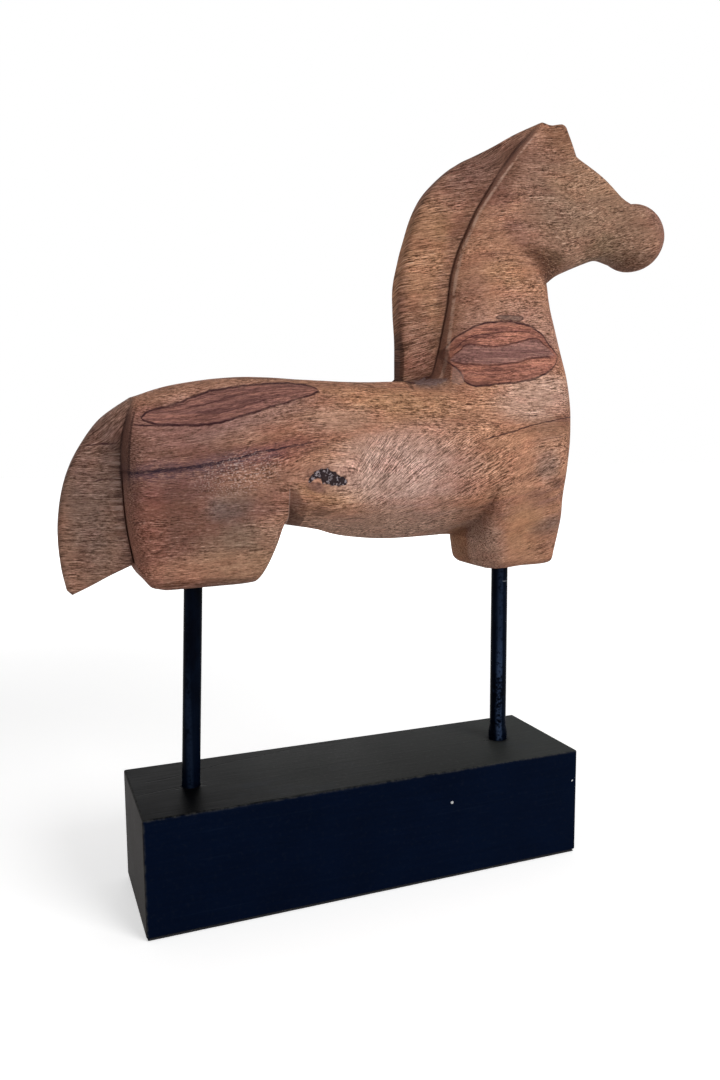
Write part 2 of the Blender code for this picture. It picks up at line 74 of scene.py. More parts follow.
class Bench:
    def __init__(self, tree, tones=None):            # tones: the piece's colours by name
        self.tree, self.tones = tree, tones
        tree.nodes.clear()

    def feed(self, socket, value):
        if isinstance(value, str):
            value = self.tones[value]
        if isinstance(value, Wire):
            self.tree.links.new(value.socket, socket)
        elif hasattr(value, "__len__") and len(value) == 3 and socket.type == "RGBA":
            socket.default_value = (*value, 1)
        else:
            socket.default_value = value

    def add(self, kind, settings=None, inputs=(), out=0):
        node = self.tree.nodes.new("ShaderNode" + kind)
        for name, value in (settings or {}).items():
            if name == "stops":                      # of a colour ramp
                while len(node.color_ramp.elements) < len(value):
                    node.color_ramp.elements.new(0.5)
                for element, (place, tone) in zip(node.color_ramp.elements, value):
                    element.position = place
                    element.color = (*self.tones[tone], 1)
            elif name == "drawn":                    # of a float curve
                points = node.mapping.curves[0].points
                while len(points) < len(value):
                    points.new(0.5, 0.5)
                for point, place in zip(points, value):
                    point.location = place
                node.mapping.update()
            else:
                setattr(node, name, value)
        for key, value in inputs.items() if isinstance(inputs, dict) else enumerate(inputs):
            self.feed(node.inputs[key], value)
        return Wire(self, node.outputs[out])

    def maths(self, operation, *values):
        return self.add("Math", {"operation": operation}, values)

    def most(self, first, second):
        return self.maths("MAXIMUM", first, second)

    def size(self, value):
        return self.maths("ABSOLUTE", value)

    def ease(self, value, low, high, start=0, end=1):        # 0 below low, 1 above high
        return self.add("MapRange", {"interpolation_type": "SMOOTHSTEP", "clamp": False},
                        (value, low, high, start, end))

    def fade(self, value, low, high):                # 1 below low, 0 above high
        return self.ease(value, low, high, 1, 0)

    def between(self, value, low, full, stillFull, high):
        return self.ease(value, low, full) * self.fade(value, stillFull, high)

    def close(self, value, full, gone):              # 1 up to full from zero, 0 beyond gone
        return self.fade(self.size(value), full, gone)

    def noise(self, place, scale, detail=2, roughness=0.5, distortion=0):
        return self.group(noiseTree, X=place[0], Y=place[1], Z=place[2], Scale=scale, Detail=detail,
                          Roughness=roughness, Distortion=distortion)

    def blend(self, factor, first, second, how="MIX"):
        return self.add("Mix", {"data_type": "RGBA", "blend_type": how}, {0: factor, 6: first, 7: second}, 2)

    def times(self, colour, red, green=None, blue=None):         # by one number or by three
        return self.blend(1, colour, self.add("CombineColor", None, (red, green or red, blue or red)), "MULTIPLY")

    def curve(self, x, drawn):                       # height of a drawn line over x
        xs, zs = [p[0] for p in drawn], [p[1] for p in drawn]
        left, low = xs[0], min(zs) - 1
        wide, tall = xs[-1] - left, max(zs) + 1 - low
        unit = [((px - left) / wide, (pz - low) / tall) for px, pz in drawn]
        across = self.add("MapRange", {"clamp": False}, (x, left, left + wide, 0, 1))
        share = self.add("FloatCurve", {"drawn": unit}, {"Value": across})
        return self.maths("MULTIPLY_ADD", share, tall, low)

    def group(self, tree, **values):
        return self.add("Group", {"node_tree": tree}, values)

    def spot(self, x, z, middle, reach, turn=0, soft=1):     # 1 in a soft oval, 0 outside
        c, s = turned(turn)
        return self.group(spotTree, X=x - middle[0], Z=z - middle[1], A=c / reach[0], B=s / reach[0],
                          C=c / reach[1], D=s / reach[1], Inner=1 - soft, Outer=1 + 0.3 * soft)

    def patch(self, x, z, corners, soft=0.35):                   # 1 inside straight sides, corners anticlockwise
        share = 1
        for (ax, az), (bx, bz) in zip(corners, corners[1:] + corners[:1]):
            length = math.hypot(bx - ax, bz - az)
            a, b = (az - bz) / length, (bx - ax) / length
            share = self.group(sideTree, Share=share, X=x, Z=z, A=a, B=b, C=-a * ax - b * az, Soft=soft)
        return share

    def stroke(self, x, z, drawn, half, soft=(3, 6)):            # 1 on a drawn line, 0 half a width away
        return self.group(strokeTree, X=x, Off=z - self.curve(x, drawn), Half=half, From=drawn[0][0],
                          Rise=soft[0], To=drawn[-1][0], Fall=soft[1])

    def show(self, kind, wire):                      # what the tree gives
        self.feed(self.tree.nodes.new(kind).inputs[0], wire)

    def coat(self, colour, roughness, height, depth):            # height 0 to 1, depth in metres
        self.feed(self.skin["Base Color"], colour)
        self.feed(self.skin["Roughness"], roughness)
        self.feed(self.skin["Normal"], self.add("Bump", None, {"Strength": 1, "Distance": depth, "Height": height}))


def makeGroup(name, inputs, recipe, result="NodeSocketFloat"):   # a node group from a recipe
    tree = bpy.data.node_groups.new(name, "ShaderNodeTree")
    bench = Bench(tree)
    for label, value in inputs.items():
        isColour = hasattr(value, "__len__")
        kind = "NodeSocketColor" if isColour else "NodeSocketFloat"
        socket = tree.interface.new_socket(label, in_out="INPUT", socket_type=kind)
        socket.default_value = (*value, 1) if isColour else value
    tree.interface.new_socket("Result", in_out="OUTPUT", socket_type=result)
    given = tree.nodes.new("NodeGroupInput").outputs
    bench.show("NodeGroupOutput", recipe(bench, *[Wire(bench, given[label]) for label in inputs]))
    return tree


def newFinish(name, tones, roughness, metallic=0, specular=0.5):
    finish = bpy.data.materials.new(name)
    finish.use_nodes = True
    bench = Bench(finish.node_tree, tones)
    skin = bench.add("BsdfPrincipled", None, {"Roughness": roughness, "Metallic": metallic,
                                              "Specular IOR Level": specular})
    bench.skin = skin.socket.node.inputs
    bench.show("ShaderNodeOutputMaterial", skin)
    cut = bench.group(placeTree).socket.node.outputs
    return finish, bench, [Wire(bench, cut[axis]) for axis in "XYZ"]


def split(bench, place):
    outs = bench.add("SeparateXYZ", None, (place,)).socket.node.outputs
    return [Wire(bench, socket) for socket in outs]


def makePlace():                                     # where a point lies in its own object, in mm
    tree = bpy.data.node_groups.new("placeInMm", "ShaderNodeTree")
    bench = Bench(tree)
    place = bench.add("TexCoord", None, (), "Object")
    place = split(bench, bench.add("VectorMath", {"operation": "SCALE"}, {0: place, "Scale": 1 / mm}))
    end = tree.nodes.new("NodeGroupOutput")
    for axis, wire in zip("XYZ", place):
        tree.interface.new_socket(axis, in_out="OUTPUT", socket_type="NodeSocketFloat")
        bench.feed(end.inputs[axis], wire)
    return tree


def ovalRecipe(bench, x, z, a, b, c, d, inner, outer):
    along, over = x * a + z * b, z * c - x * d
    return 1 - bench.ease(along * along + over * over, inner, outer)


def strokeRecipe(bench, x, off, half, start, rise, end, fall):
    line = bench.close(off, 0.35 * half, half)
    return line * bench.ease(x, start, start + rise) * bench.fade(x, end - fall, end)


def sideRecipe(bench, share, x, z, a, b, c, soft):
    return share * bench.ease(x * a + z * b + c, soft * -1, soft)


def noiseRecipe(bench, x, y, z, scale, detail, roughness, distortion):
    place = bench.add("CombineXYZ", None, (x, y, z))
    return bench.add("TexNoise", None, {"Vector": place, "Scale": scale, "Detail": detail,
                                        "Roughness": roughness, "Distortion": distortion})


def stainRecipe(bench, under, x, z, mottle, midX, midZ, a, b, c, d, strength, colour):
    share = ovalRecipe(bench, x - midX, z - midZ, a, b, c, d, 0, 1.3)
    return bench.blend(share * strength * (0.5 + mottle), under, colour)


def turned(degrees):
    return math.cos(math.radians(degrees)), math.sin(math.radians(degrees))


def numbers(labels):
    return dict.fromkeys(labels.split(), 0)


placeTree = makePlace()
spotTree = makeGroup("softOval", numbers("X Z A B C D Inner Outer"), ovalRecipe)
strokeTree = makeGroup("drawnStroke", numbers("X Off Half From Rise To Fall"), strokeRecipe)
sideTree = makeGroup("straightSide", numbers("Share X Z A B C Soft"), sideRecipe)
noiseTree = makeGroup("unevenness", numbers("X Y Z Scale Detail Roughness Distortion"), noiseRecipe)
stainTree = makeGroup("woodStain", {"Under": (0.5, 0.5, 0.5), **numbers("X Z Mottle MidX MidZ A B C D Strength"),
                                    "Colour": (0.5, 0.5, 0.5)}, stainRecipe, "NodeSocketColor")


# Camera, light and floor

view = {"place": (-0.1471, -0.3786, 0.2067), "azimuth": -21.61, "elevation": 6.95, "roll": -0.41, "lens": 29.57,
        "clipStart": 0.01}

studio = {
    "ambient": 0.27,
    "lamps": [                                       # name, place, size, watts
        ("key", (0.6, -1.28, 0.7), 0.9, 17.5),
        ("over", (0.1, -0.1, 1.5), 1, 2),
        ("left", (-1.2, -0.7, 0.45), 0.8, 3),
        ("back", (0.3, 1.45, 0.35), 0.9, 5),
    ],
    "aim": (0, 0, 0.17),
    "floorGlow": (0.5, 1),                        # near the object and far from it
    "floorFar": (0.25, 1.6),                         # where the glow starts and stops to grow
    "floorColour": (0.82, 0.82, 0.82),
    "floorHalf": 4,
    "floorLevel": -0.0002,
}


def place(name, data):
    thing = bpy.data.objects.new(name, data)
    bpy.context.scene.collection.objects.link(thing)
    return thing


def addCamera():
    a, e, r = (math.radians(view[k]) for k in ("azimuth", "elevation", "roll"))
    back = Vector((math.sin(a) * math.cos(e), -math.cos(a) * math.cos(e), math.sin(e)))
    level = Vector((0, 0, 1)).cross(back).normalized()
    upright = back.cross(level)
    right = math.cos(r) * level + math.sin(r) * upright
    up = back.cross(right)
    eye = place("camera", bpy.data.cameras.new("camera"))
    turn = Matrix((right, up, back)).transposed().to_4x4()
    eye.matrix_world = Matrix.Translation(view["place"]) @ turn
    eye.data.lens = view["lens"]
    eye.data.clip_start = view["clipStart"]
    bpy.context.scene.camera = eye


def seenBy(bench, *rays):                            # 1 for rays of these kinds
    path = bench.add("LightPath").socket.node.outputs
    share = Wire(bench, path[f"Is {rays[0]} Ray"])
    for ray in rays[1:]:
        share = bench.most(share, Wire(bench, path[f"Is {ray} Ray"]))
    return share


def addLamps():
    for name, spot, size, watts in studio["lamps"]:
        lamp = bpy.data.lights.new(name, "AREA")
        lamp.shape = "DISK"
        lamp.size, lamp.energy = size, watts
        holder = place(name, lamp)
        holder.location = spot
        holder.rotation_mode = "QUATERNION"
        holder.rotation_quaternion = (Vector(studio["aim"]) - Vector(spot)).to_track_quat("-Z", "Y")
    world = bpy.data.worlds.new("room")
    bpy.context.scene.world = world
    world.use_nodes = True
    bench = Bench(world.node_tree)
    shown = seenBy(bench, "Camera", "Glossy", "Transmission")
    level = studio["ambient"] + shown * (1 - studio["ambient"])
    bench.show("ShaderNodeOutputWorld", bench.add("Background", None, ((1, 1, 1), level)))


def addFloor():
    mesh = bpy.data.meshes.new("floor")
    half, level = studio["floorHalf"], studio["floorLevel"]
    corners = [(-half, -half, level), (half, -half, level), (half, half, level), (-half, half, level)]
    mesh.from_pydata(corners, [], [(0, 1, 2, 3)])
    finish = bpy.data.materials.new("paleFloor")
    finish.use_nodes = True
    bench = Bench(finish.node_tree)
    shown = seenBy(bench, "Camera", "Glossy")
    lit = bench.add("BsdfDiffuse", None, (studio["floorColour"],))
    x, y, z = split(bench, bench.add("TexCoord", None, (), "Object"))
    low, high = studio["floorGlow"]
    far = bench.ease(bench.maths("SQRT", x * x + y * y), *studio["floorFar"])
    glow = bench.add("Emission", None, ((1, 1, 1), shown * (low + (high - low) * far)))
    bench.show("ShaderNodeOutputMaterial", bench.add("AddShader", None, (lit, glow)))
    mesh.materials.append(finish)
    place("floor", mesh)


bpy.context.scene.view_settings.view_transform = "Standard"
addCamera()
addLamps()
addFloor()
print("camera, lamps and floor are in place")


# The horse: its side view is drawn in millimetres from the zero line just above the soles

horse = {
    "zeroLine": 144.5,          # height of the drawing's zero line over the table
    "grain": 1.1,               # spacing of the surface points
    "rimRows": 14,              # rows of points round the edge, from side to side
    "cutWidth": 0.5,            # width of a groove's wall in the side view
    "grooveDepth": 0.9,         # extra depth of the groove beside the mane and the tail
    "unevenness": 0.28 * mm,    # how far the knife left the surface from flat
    "unevenSize": 16 * mm,      # from one high place to the next
    "facets": 0.8,              # share of the flat facets in it
    "seed": 7,
    "maneFoot": (12.2, 14),     # half width beside the cut, and how far the slope to it reaches
    "tailFoot": (11.5, 8),
    "maneBlade": (5.4, 0.5),    # half width at the back edge, and its gain per mm inwards
    "tailBlade": (5, 0.33),
    "thinEdge": 2.5,            # rounding of the blades' back edges
    "bevel": ((10, 12), (3, 6)),        # depth and reach at the front stump's rear edge, near and far side
}

tailUnder = [(-101, 9.2), (-110, 4.7), (-119, -0.3), (-125, -3.3)]
tailBack = [(-127, -1.5), (-128.8, 8), (-129.5, 20), (-128.4, 33), (-125.4, 45), (-120, 56.4), (-111, 68.2),
            (-98.5, 77)]
rumpAndBack = [(-98.5, 77), (-80.4, 82.5), (-52, 85.7), (-11, 84.2), (21, 84.5)]
maneHeel = [(21.6, 84.7), (21.7, 86.2)]
maneBack = [(21.7, 86.2), (21.8, 102), (20.9, 117), (21.1, 128), (23.4, 139), (26.2, 148.5), (30.8, 161),
            (37.6, 171.4), (49.1, 181.8), (58.8, 187.2), (70.1, 193.2), (80.5, 199.2), (92, 204.6)]
ear = [(92, 204.6), (96.8, 203.8), (102.8, 205), (105.2, 203.5)]
earFront = [(105.2, 203.5), (108.7, 196.5), (111.2, 191.4)]
faceLine = [(111.2, 191.4), (118, 188.4), (126, 184.4), (133, 180.3), (139.3, 176.2), (142.6, 174.6)]
muzzle = {"middle": (150.4, 157.8), "radius": 16.2, "start": 106, "end": -122}
jaw = [(133, 146.1), (126.5, 144.9), (118, 142), (110, 138.8), (102, 135.2), (95, 130.2)]
neckAndChest = [(95, 130.2), (96.4, 119.5), (100.7, 103), (105.6, 85), (107.7, 67), (107.3, 46),
                (104.1, 28), (99.4, 14), (96.2, 4.5)]
frontSole = [(96.2, 4.5), (95, 0.4), (92, -1.6), (78, -1.9), (65, -2.9), (61.6, -2.4), (60, 0.6), (58.8, 11)]
elbowFoot = [(58.8, 11), (58.3, 11)]
belly = [(58.3, 11), (42, 11.1), (18, 11.7), (-7, 15.1), (-20, 19), (-38.1, 22.6)]
haunchFoot = [(-38.1, 22.6), (-38.6, 22.8)]
hindSole = [(-38.6, 22.8), (-42, 14.2), (-46, 6), (-50, 0.8), (-54, -0.8), (-70, -1.1), (-88, -1.2),
            (-92, -0.6), (-95.6, 0.4), (-98.4, 4.2), (-101, 9.2)]

maneCut = [(21.6, 84.7), (28, 84.8), (33.6, 86), (35.4, 91), (37.6, 102), (40, 117), (41.4, 129),
           (44.8, 141), (49.2, 150.8), (55, 161.4), (66, 176), (80.2, 193), (92, 204.6)]
tailCut = [(-101, 9.2), (-103.3, 24), (-104.1, 40), (-103.8, 54), (-102.4, 66), (-98.5, 77)]
haunchFront = [(-38.6, 22.8), (-38.8, 31), (-38.6, 40)]
elbow = [(58.8, 11), (59.4, 21), (60.4, 36)]
stumpRear = [(61.2, -2.4), (59.4, 4)] + elbow

# Places on the side: x, z, half width, rounding of the edge, half of the flat edge
stations = [(-95, 4, 24.5, 4, 19), (62, 2, 24.5, 5, 15), (-92, 45, 26, 14, 4), (-85, 70, 24, 16, 3),
            (-74, 36, 28, 14, 6), (-60, 56, 27.5, 18, 4), (-72, 5, 25.5, 7, 18), (-47, 20, 26, 7, 14),
            (-45, 78, 25.5, 14, 6), (-10, 78, 25.5, 12, 8), (15, 78, 25, 10, 9), (-15, 50, 27, 16, 5),
            (20, 40, 28, 16, 5), (60, 56, 29, 16, 5), (90, 60, 27.5, 18, 5), (100, 40, 26, 18, 5),
            (78, 4, 24, 6, 15), (66, 12, 25, 5, 19), (82, 22, 26, 10, 9), (70, 90, 26, 16, 5),
            (68, 115, 23.5, 14, 4), (72, 140, 21, 12, 4), (94, 160, 18.5, 12, 4), (115, 155, 15.5, 10, 3),
            (114, 178, 13.5, 8, 4), (95, 187, 13.5, 6, 5), (102, 198, 11.5, 3.5, 7), (135, 160, 11.5, 9, 2),
            (150.7, 158.6, 16, 16, 0.6)]

# Hollows and swellings that the knife left: side (-1 near, 1 far, 0 both), middle, reach, turn, depth
knifeMarks = [
    (0, (93.5, 136.5), (9.5, 5.5), 12, 1.7),         # under the jaw
    (0, (126, 150), (9, 6), 30, 0.9),                # behind the chin
    (-1, (-22, 23.5), (6.5, 2.2), -12, 0.7),         # scoops along the belly
    (-1, (-9, 20), (7.5, 2.4), -14, 0.5),
    (1, (4, 19.5), (9, 2.6), -8, 0.7),
    (-1, (29, 86.5), (8.5, 2.6), 0, 1.1),            # torn wood at the mane's foot
    (1, (30, 86.5), (8, 2.2), 0, 0.9),
    (-1, (-35.5, 30), (2.4, 8), 0, 0.8),             # beside the haunch
    (1, (-80, 52), (16, 10), 20, 0.5),
    (1, (60, 110), (10, 16), 0, 0.5),
    (-1, (84, 34), (9, 14), 0, 0.35),
    (0, (122, 172), (10, 6), -28, 0.5),              # cheek
]


def smoothLine(drawn, step):
    pts = np.array(drawn, float)
    pts = np.vstack([2 * pts[0] - pts[1], pts, 2 * pts[-1] - pts[-2]])
    dense = []
    for a, b, c, d in zip(pts, pts[1:], pts[2:], pts[3:]):
        for t in np.linspace(0, 1, 12, endpoint=False):
            dense.append(0.5 * (2 * b + (c - a) * t + (2 * a - 5 * b + 4 * c - d) * t ** 2
                                + (3 * b - a - 3 * c + d) * t ** 3))
    dense = np.array(dense + [pts[-2]])
    along = np.concatenate([[0], np.cumsum(np.linalg.norm(np.diff(dense, axis=0), axis=1))])
    wanted = np.linspace(0, along[-1], max(2, int(round(along[-1] / step)) + 1))
    return np.stack([np.interp(wanted, along, dense[:, k]) for k in (0, 1)], axis=1)


def sideOutline(step):
    start, end = math.radians(muzzle["start"]), math.radians(muzzle["end"])
    turns = np.linspace(start, end, int(muzzle["radius"] * (start - end) / step) + 1)
    ball = np.array(muzzle["middle"]) + muzzle["radius"] * np.stack([np.cos(turns), np.sin(turns)], axis=1)
    back = (tailUnder, tailBack, rumpAndBack, maneHeel, maneBack, ear, earFront, faceLine + [tuple(ball[0])])
    front = ([tuple(ball[-1])] + jaw, neckAndChest, frontSole, elbowFoot, belly, haunchFoot, hindSole)
    runs = [smoothLine(run, step) for run in back] + [ball] + [smoothLine(run, step) for run in front]
    loop = []
    for point in np.vstack(runs):
        if not loop or np.linalg.norm(point - loop[-1]) > 0.3 * step:
            loop.append(point)
    if np.linalg.norm(loop[0] - loop[-1]) < 0.3 * step:
        loop.pop()
    return np.array(loop)


def distance(points, line, closed=False):            # positive on the line's right hand
    if closed:
        line = np.vstack([line, line[:1]])
    best, side = np.full(len(points), 1e9), np.ones(len(points))
    for a, run in zip(line[:-1], np.diff(line, axis=0)):
        off = points - a
        t = np.clip(off @ run / (run @ run), 0, 1)
        gap = np.hypot(off[:, 0] - t * run[0], off[:, 1] - t * run[1])
        nearer = gap < best
        best = np.where(nearer, gap, best)
        side = np.where(nearer, np.sign(run[1] * off[:, 0] - run[0] * off[:, 1]), side)
    return best * side


def arc(share):
    return np.sqrt(1 - (1 - np.clip(share, 0, 1)) ** 2)


def ramp(value, low, high):
    share = np.clip((value - low) / (high - low), 0, 1)
    return share * share * (3 - 2 * share)


def sink(width, gap, level, reach, amount=1):
    low = np.minimum(level, width)
    return width + amount * (low + (width - low) * arc(gap / reach) - width)


def surveySide(points):
    fine = {"outline": distance(points, sideOutline(1.5), closed=True)}
    for name, drawn in (("maneCut", maneCut), ("tailCut", tailCut), ("maneBack", maneBack), ("tailBack", tailBack),
                        ("belly", belly), ("haunch", haunchFront), ("elbow", elbow), ("stumpRear", stumpRear)):
        fine[name] = distance(points, smoothLine(drawn, 1.5))
    return fine


def halfWidth(points, gaps, side):
    x, z = points[:, 0], points[:, 1]
    edge = np.maximum(gaps["outline"], 0)
    table = np.array(stations, float)
    weight = 1 / (np.sum((points[:, None, :] - table[None, :, :2]) ** 2, axis=2) + 64) ** 2
    width, rounding, flat = (weight @ table[:, 2:] / weight.sum(axis=1, keepdims=True)).T
    flat = np.minimum(flat, width)
    block = flat + (width - flat) * arc(edge / rounding)
    wall = horse["cutWidth"] / 2

    body = sink(block, np.abs(gaps["maneCut"]), *horse["maneFoot"], 1 - ramp(x, 66, 92))
    body = sink(body, np.abs(gaps["maneCut"]), body - horse["grooveDepth"], 1.6, 1 - ramp(x, 84, 92))
    body = sink(body, np.abs(gaps["tailCut"]), *horse["tailFoot"], 1 - ramp(z, 52, 72))
    amount = 0.25 + 0.75 * ramp(z, 30, 48) - ramp(z, 62, 76)
    body = sink(body, np.abs(gaps["tailCut"]), body - horse["grooveDepth"], 1.6, amount)

    under = np.maximum(gaps["belly"], 0)
    share = np.clip((x - belly[-1][0]) / (belly[0][0] - belly[-1][0]), 0, 1)
    keel = 8 - 25.5 * share if side < 0 else 8 + 11.5 * share
    low = keel + (width - keel) * (1 - (1 - np.clip(under / (13 + 13 * share), 0, 1)) ** 2)
    low = sink(low, gaps["haunch"], low - 3.8, 6.5, 1 - 0.8 * ramp(z, 26, 40))
    isBelly = (gaps["haunch"] > wall) & (gaps["elbow"] < -wall) & (under < 26)
    depth, reach = horse["bevel"][side > 0]
    amount = 1 - 0.7 * ramp(z, 16, 34)
    rounded = sink(body, gaps["stumpRear"], body - depth, reach, amount)
    cove = np.clip(body - depth * amount - low, 0, 6)          # soft hollow between belly and stump
    low = low + cove * (1 - arc(-gaps["elbow"] / 7)) * isBelly
    body = np.where(gaps["elbow"] > -wall, rounded, body)

    thinEdge = horse["thinEdge"] * (1 - arc(edge / horse["thinEdge"]))
    thick, gain = horse["maneBlade"]
    mane = thick + gain * np.abs(gaps["maneBack"]) - thinEdge
    mane = mane + (block - mane) * ramp(x, 74, 93)
    thick, gain = horse["tailBlade"]
    tail = thick + gain * np.abs(gaps["tailBack"]) - thinEdge
    tail = tail + (block - tail) * ramp(z, 54, 75)
    isMane = (gaps["maneCut"] < -wall) & (z > 80) & (x > 18.6) & (x < 92)
    isTail = (x < -96) & (gaps["tailCut"] < -wall)
    mane = sink(mane, np.abs(gaps["maneCut"]), mane - 0.7, 0.9, 1 - ramp(x, 84, 92))
    tail = sink(tail, np.abs(gaps["tailCut"]), tail - 0.2, 0.9, 1 - ramp(z, 62, 76))
    half = np.where(isBelly, low, np.maximum(np.where(isMane, mane, np.where(isTail, tail, body)), 1))

    inside = ramp(edge, 0, 3)
    for which, middle, reach, turn, depth in knifeMarks:
        if which in (0, side):
            c, s = turned(turn)
            along = ((x - middle[0]) * c + (z - middle[1]) * s) / reach[0]
            over = ((z - middle[1]) * c - (x - middle[0]) * s) / reach[1]
            half = half - depth * inside * np.exp(-(along ** 2 + over ** 2) ** 1.5)
    return half


def shifted(line, offset):
    run = np.gradient(line, axis=0)
    run /= np.linalg.norm(run, axis=1, keepdims=True)
    return line + offset * np.stack([-run[:, 1], run[:, 0]], axis=1)


def crowdedOut(points, kept, room):                  # keeps the points that have room round them
    cell = {}
    for p in kept:
        cell.setdefault((int(p[0] // room), int(p[1] // room)), []).append(p)
    good = []
    for p in points:
        cx, cz = int(p[0] // room), int(p[1] // room)
        near = [q for i in (-1, 0, 1) for j in (-1, 0, 1) for q in cell.get((cx + i, cz + j), ())]
        if all((p[0] - q[0]) ** 2 + (p[1] - q[1]) ** 2 > room * room for q in near):
            good.append(p)
            cell.setdefault((cx, cz), []).append(p)
    return np.array(good).reshape(-1, 2)


def horsePoints():
    step = horse["grain"]
    outline = sideOutline(step)
    cuts = []
    for line, left in ((maneCut, 1), (tailCut, 1), (haunchFront, -1), (elbow, 1)):
        trimmed = smoothLine(line, step)[1:-1]
        cuts += [trimmed, shifted(trimmed, left * horse["cutWidth"])]
    inward = np.roll(outline, -1, axis=0) - np.roll(outline, 1, axis=0)
    inward = np.stack([inward[:, 1], -inward[:, 0]], axis=1)
    inward /= np.linalg.norm(inward, axis=1, keepdims=True)
    kept = np.vstack([outline] + cuts)
    rows = (0.12, 0.4, 0.85, 1.5, 2.3, 3.2, 4.2)     # closer where the edge turns over
    batches = [(outline + row * inward, 0.9 * row, 0.5 * gap) for row, gap in zip(rows, np.diff((0,) + rows))]
    for off in (0.6, 1.3, 2.2):
        for line in cuts[::2] + [shifted(cuts[1], 0), shifted(cuts[3], 0)]:
            for way in (-1, 1):
                batches.append((shifted(line, way * off), 0.8, 0.45))
    low, high = outline.min(axis=0), outline.max(axis=0)
    x, z = np.meshgrid(np.arange(low[0], high[0], step), np.arange(low[1], high[1], step * math.sqrt(0.75)))
    x = x + (np.arange(len(x)) % 2)[:, None] * step / 2
    batches.append((np.stack([x.ravel(), z.ravel()], axis=1), 4.6, 0.72 * step))
    for batch, leastDepth, room in batches:
        deep = distance(batch, outline, closed=True) > leastDepth
        clear = np.min([np.abs(distance(batch, line)) for line in cuts], axis=0) > 0.4
        kept = np.vstack([kept, crowdedOut(batch[deep & clear], kept, room)])
    return outline, cuts, kept


def buildHorse():
    outline, cuts, points = horsePoints()
    edges, first = [], 0
    for index, chain in enumerate([outline] + cuts):
        edges += [(first + i, first + i + 1) for i in range(len(chain) - 1)]
        if index == 0:
            edges.append((len(chain) - 1, 0))
        first += len(chain)
    flat, _, faces, origin, _, _ = delaunay_2d_cdt([Vector(p) for p in points], edges, [], 1, 1e-5)
    flat = np.array([tuple(p) for p in flat])
    gaps = surveySide(flat)
    near, far = halfWidth(flat, gaps, -1), halfWidth(flat, gaps, 1)
    count, rows = len(flat), horse["rimRows"]
    up = flat[:, 1] + horse["zeroLine"]
    verts = [np.stack([flat[:, 0], -near, up], axis=1), np.stack([flat[:, 0], far, up], axis=1)]
    merged = {old: new for new, olds in enumerate(origin) for old in olds}
    rim = np.array([merged[i] for i in range(len(outline))])
    for row in range(1, rows):                       # the edge from the near side to the far side
        y = -near[rim] + (near[rim] + far[rim]) * row / rows
        verts.append(np.stack([flat[rim, 0], y, up[rim]], axis=1))
    skin = [tuple(f) for f in faces] + [tuple(count + i for i in reversed(f)) for f in faces]
    around = [rim] + [2 * count + row * len(rim) + np.arange(len(rim)) for row in range(rows - 1)] + [rim + count]
    for low, high in zip(around, around[1:]):
        a, b = np.roll(low, -1), np.roll(high, -1)
        skin += list(zip(low.tolist(), a.tolist(), b.tolist(), high.tolist()))
    mesh = bpy.data.meshes.new("carvedHorse")
    mesh.from_pydata(np.vstack(verts) * mm, [], skin)

    # How deep in a groove or a crease each point lies, for the painted shade there
    crease = np.exp(-(gaps["maneCut"] / 1) ** 2) * (1 - ramp(flat[:, 0], 84, 93))
    crease = np.maximum(crease, 0.35 * np.exp(-((gaps["haunch"] - 0.6) / 0.9) ** 2) * (flat[:, 1] < 42))
    crease = np.maximum(crease, np.exp(-((gaps["elbow"] + 1) / 1.6) ** 2) * (flat[:, 1] < 34))
    rimCrease = np.tile(0.3 * crease[rim], rows - 1)
    mane = ramp(-gaps["maneCut"], -0.3, 0.5) * ramp(flat[:, 1], 84, 85.5) * (1 - ramp(flat[:, 0], 84, 93))
    tail = ramp(-gaps["tailCut"], -0.3, 0.5) * ramp(-flat[:, 0], 96, 101)
    beside = np.exp(-(gaps["maneCut"] / 9) ** 2) * (gaps["maneCut"] > 0) * ramp(flat[:, 1], 84, 90)
    beside = beside * (1 - ramp(flat[:, 0], 72, 88))
    byMane, byTail = np.clip(gaps["maneCut"], -9, 9), np.clip(gaps["tailCut"], -9, 9)
    for name, values in (("crease", crease), ("mane", mane), ("tail", tail), ("besideMane", beside),
                         ("maneGap", byMane), ("tailGap", byTail)):
        tag = mesh.attributes.new(name, "FLOAT", "POINT")
        spread = rimCrease if name == "crease" else np.tile(values[rim], rows - 1)
        tag.data.foreach_set("value", np.concatenate([values, values, spread]).astype(np.float32))
    mesh.update()
    return place("carvedHorse", mesh)


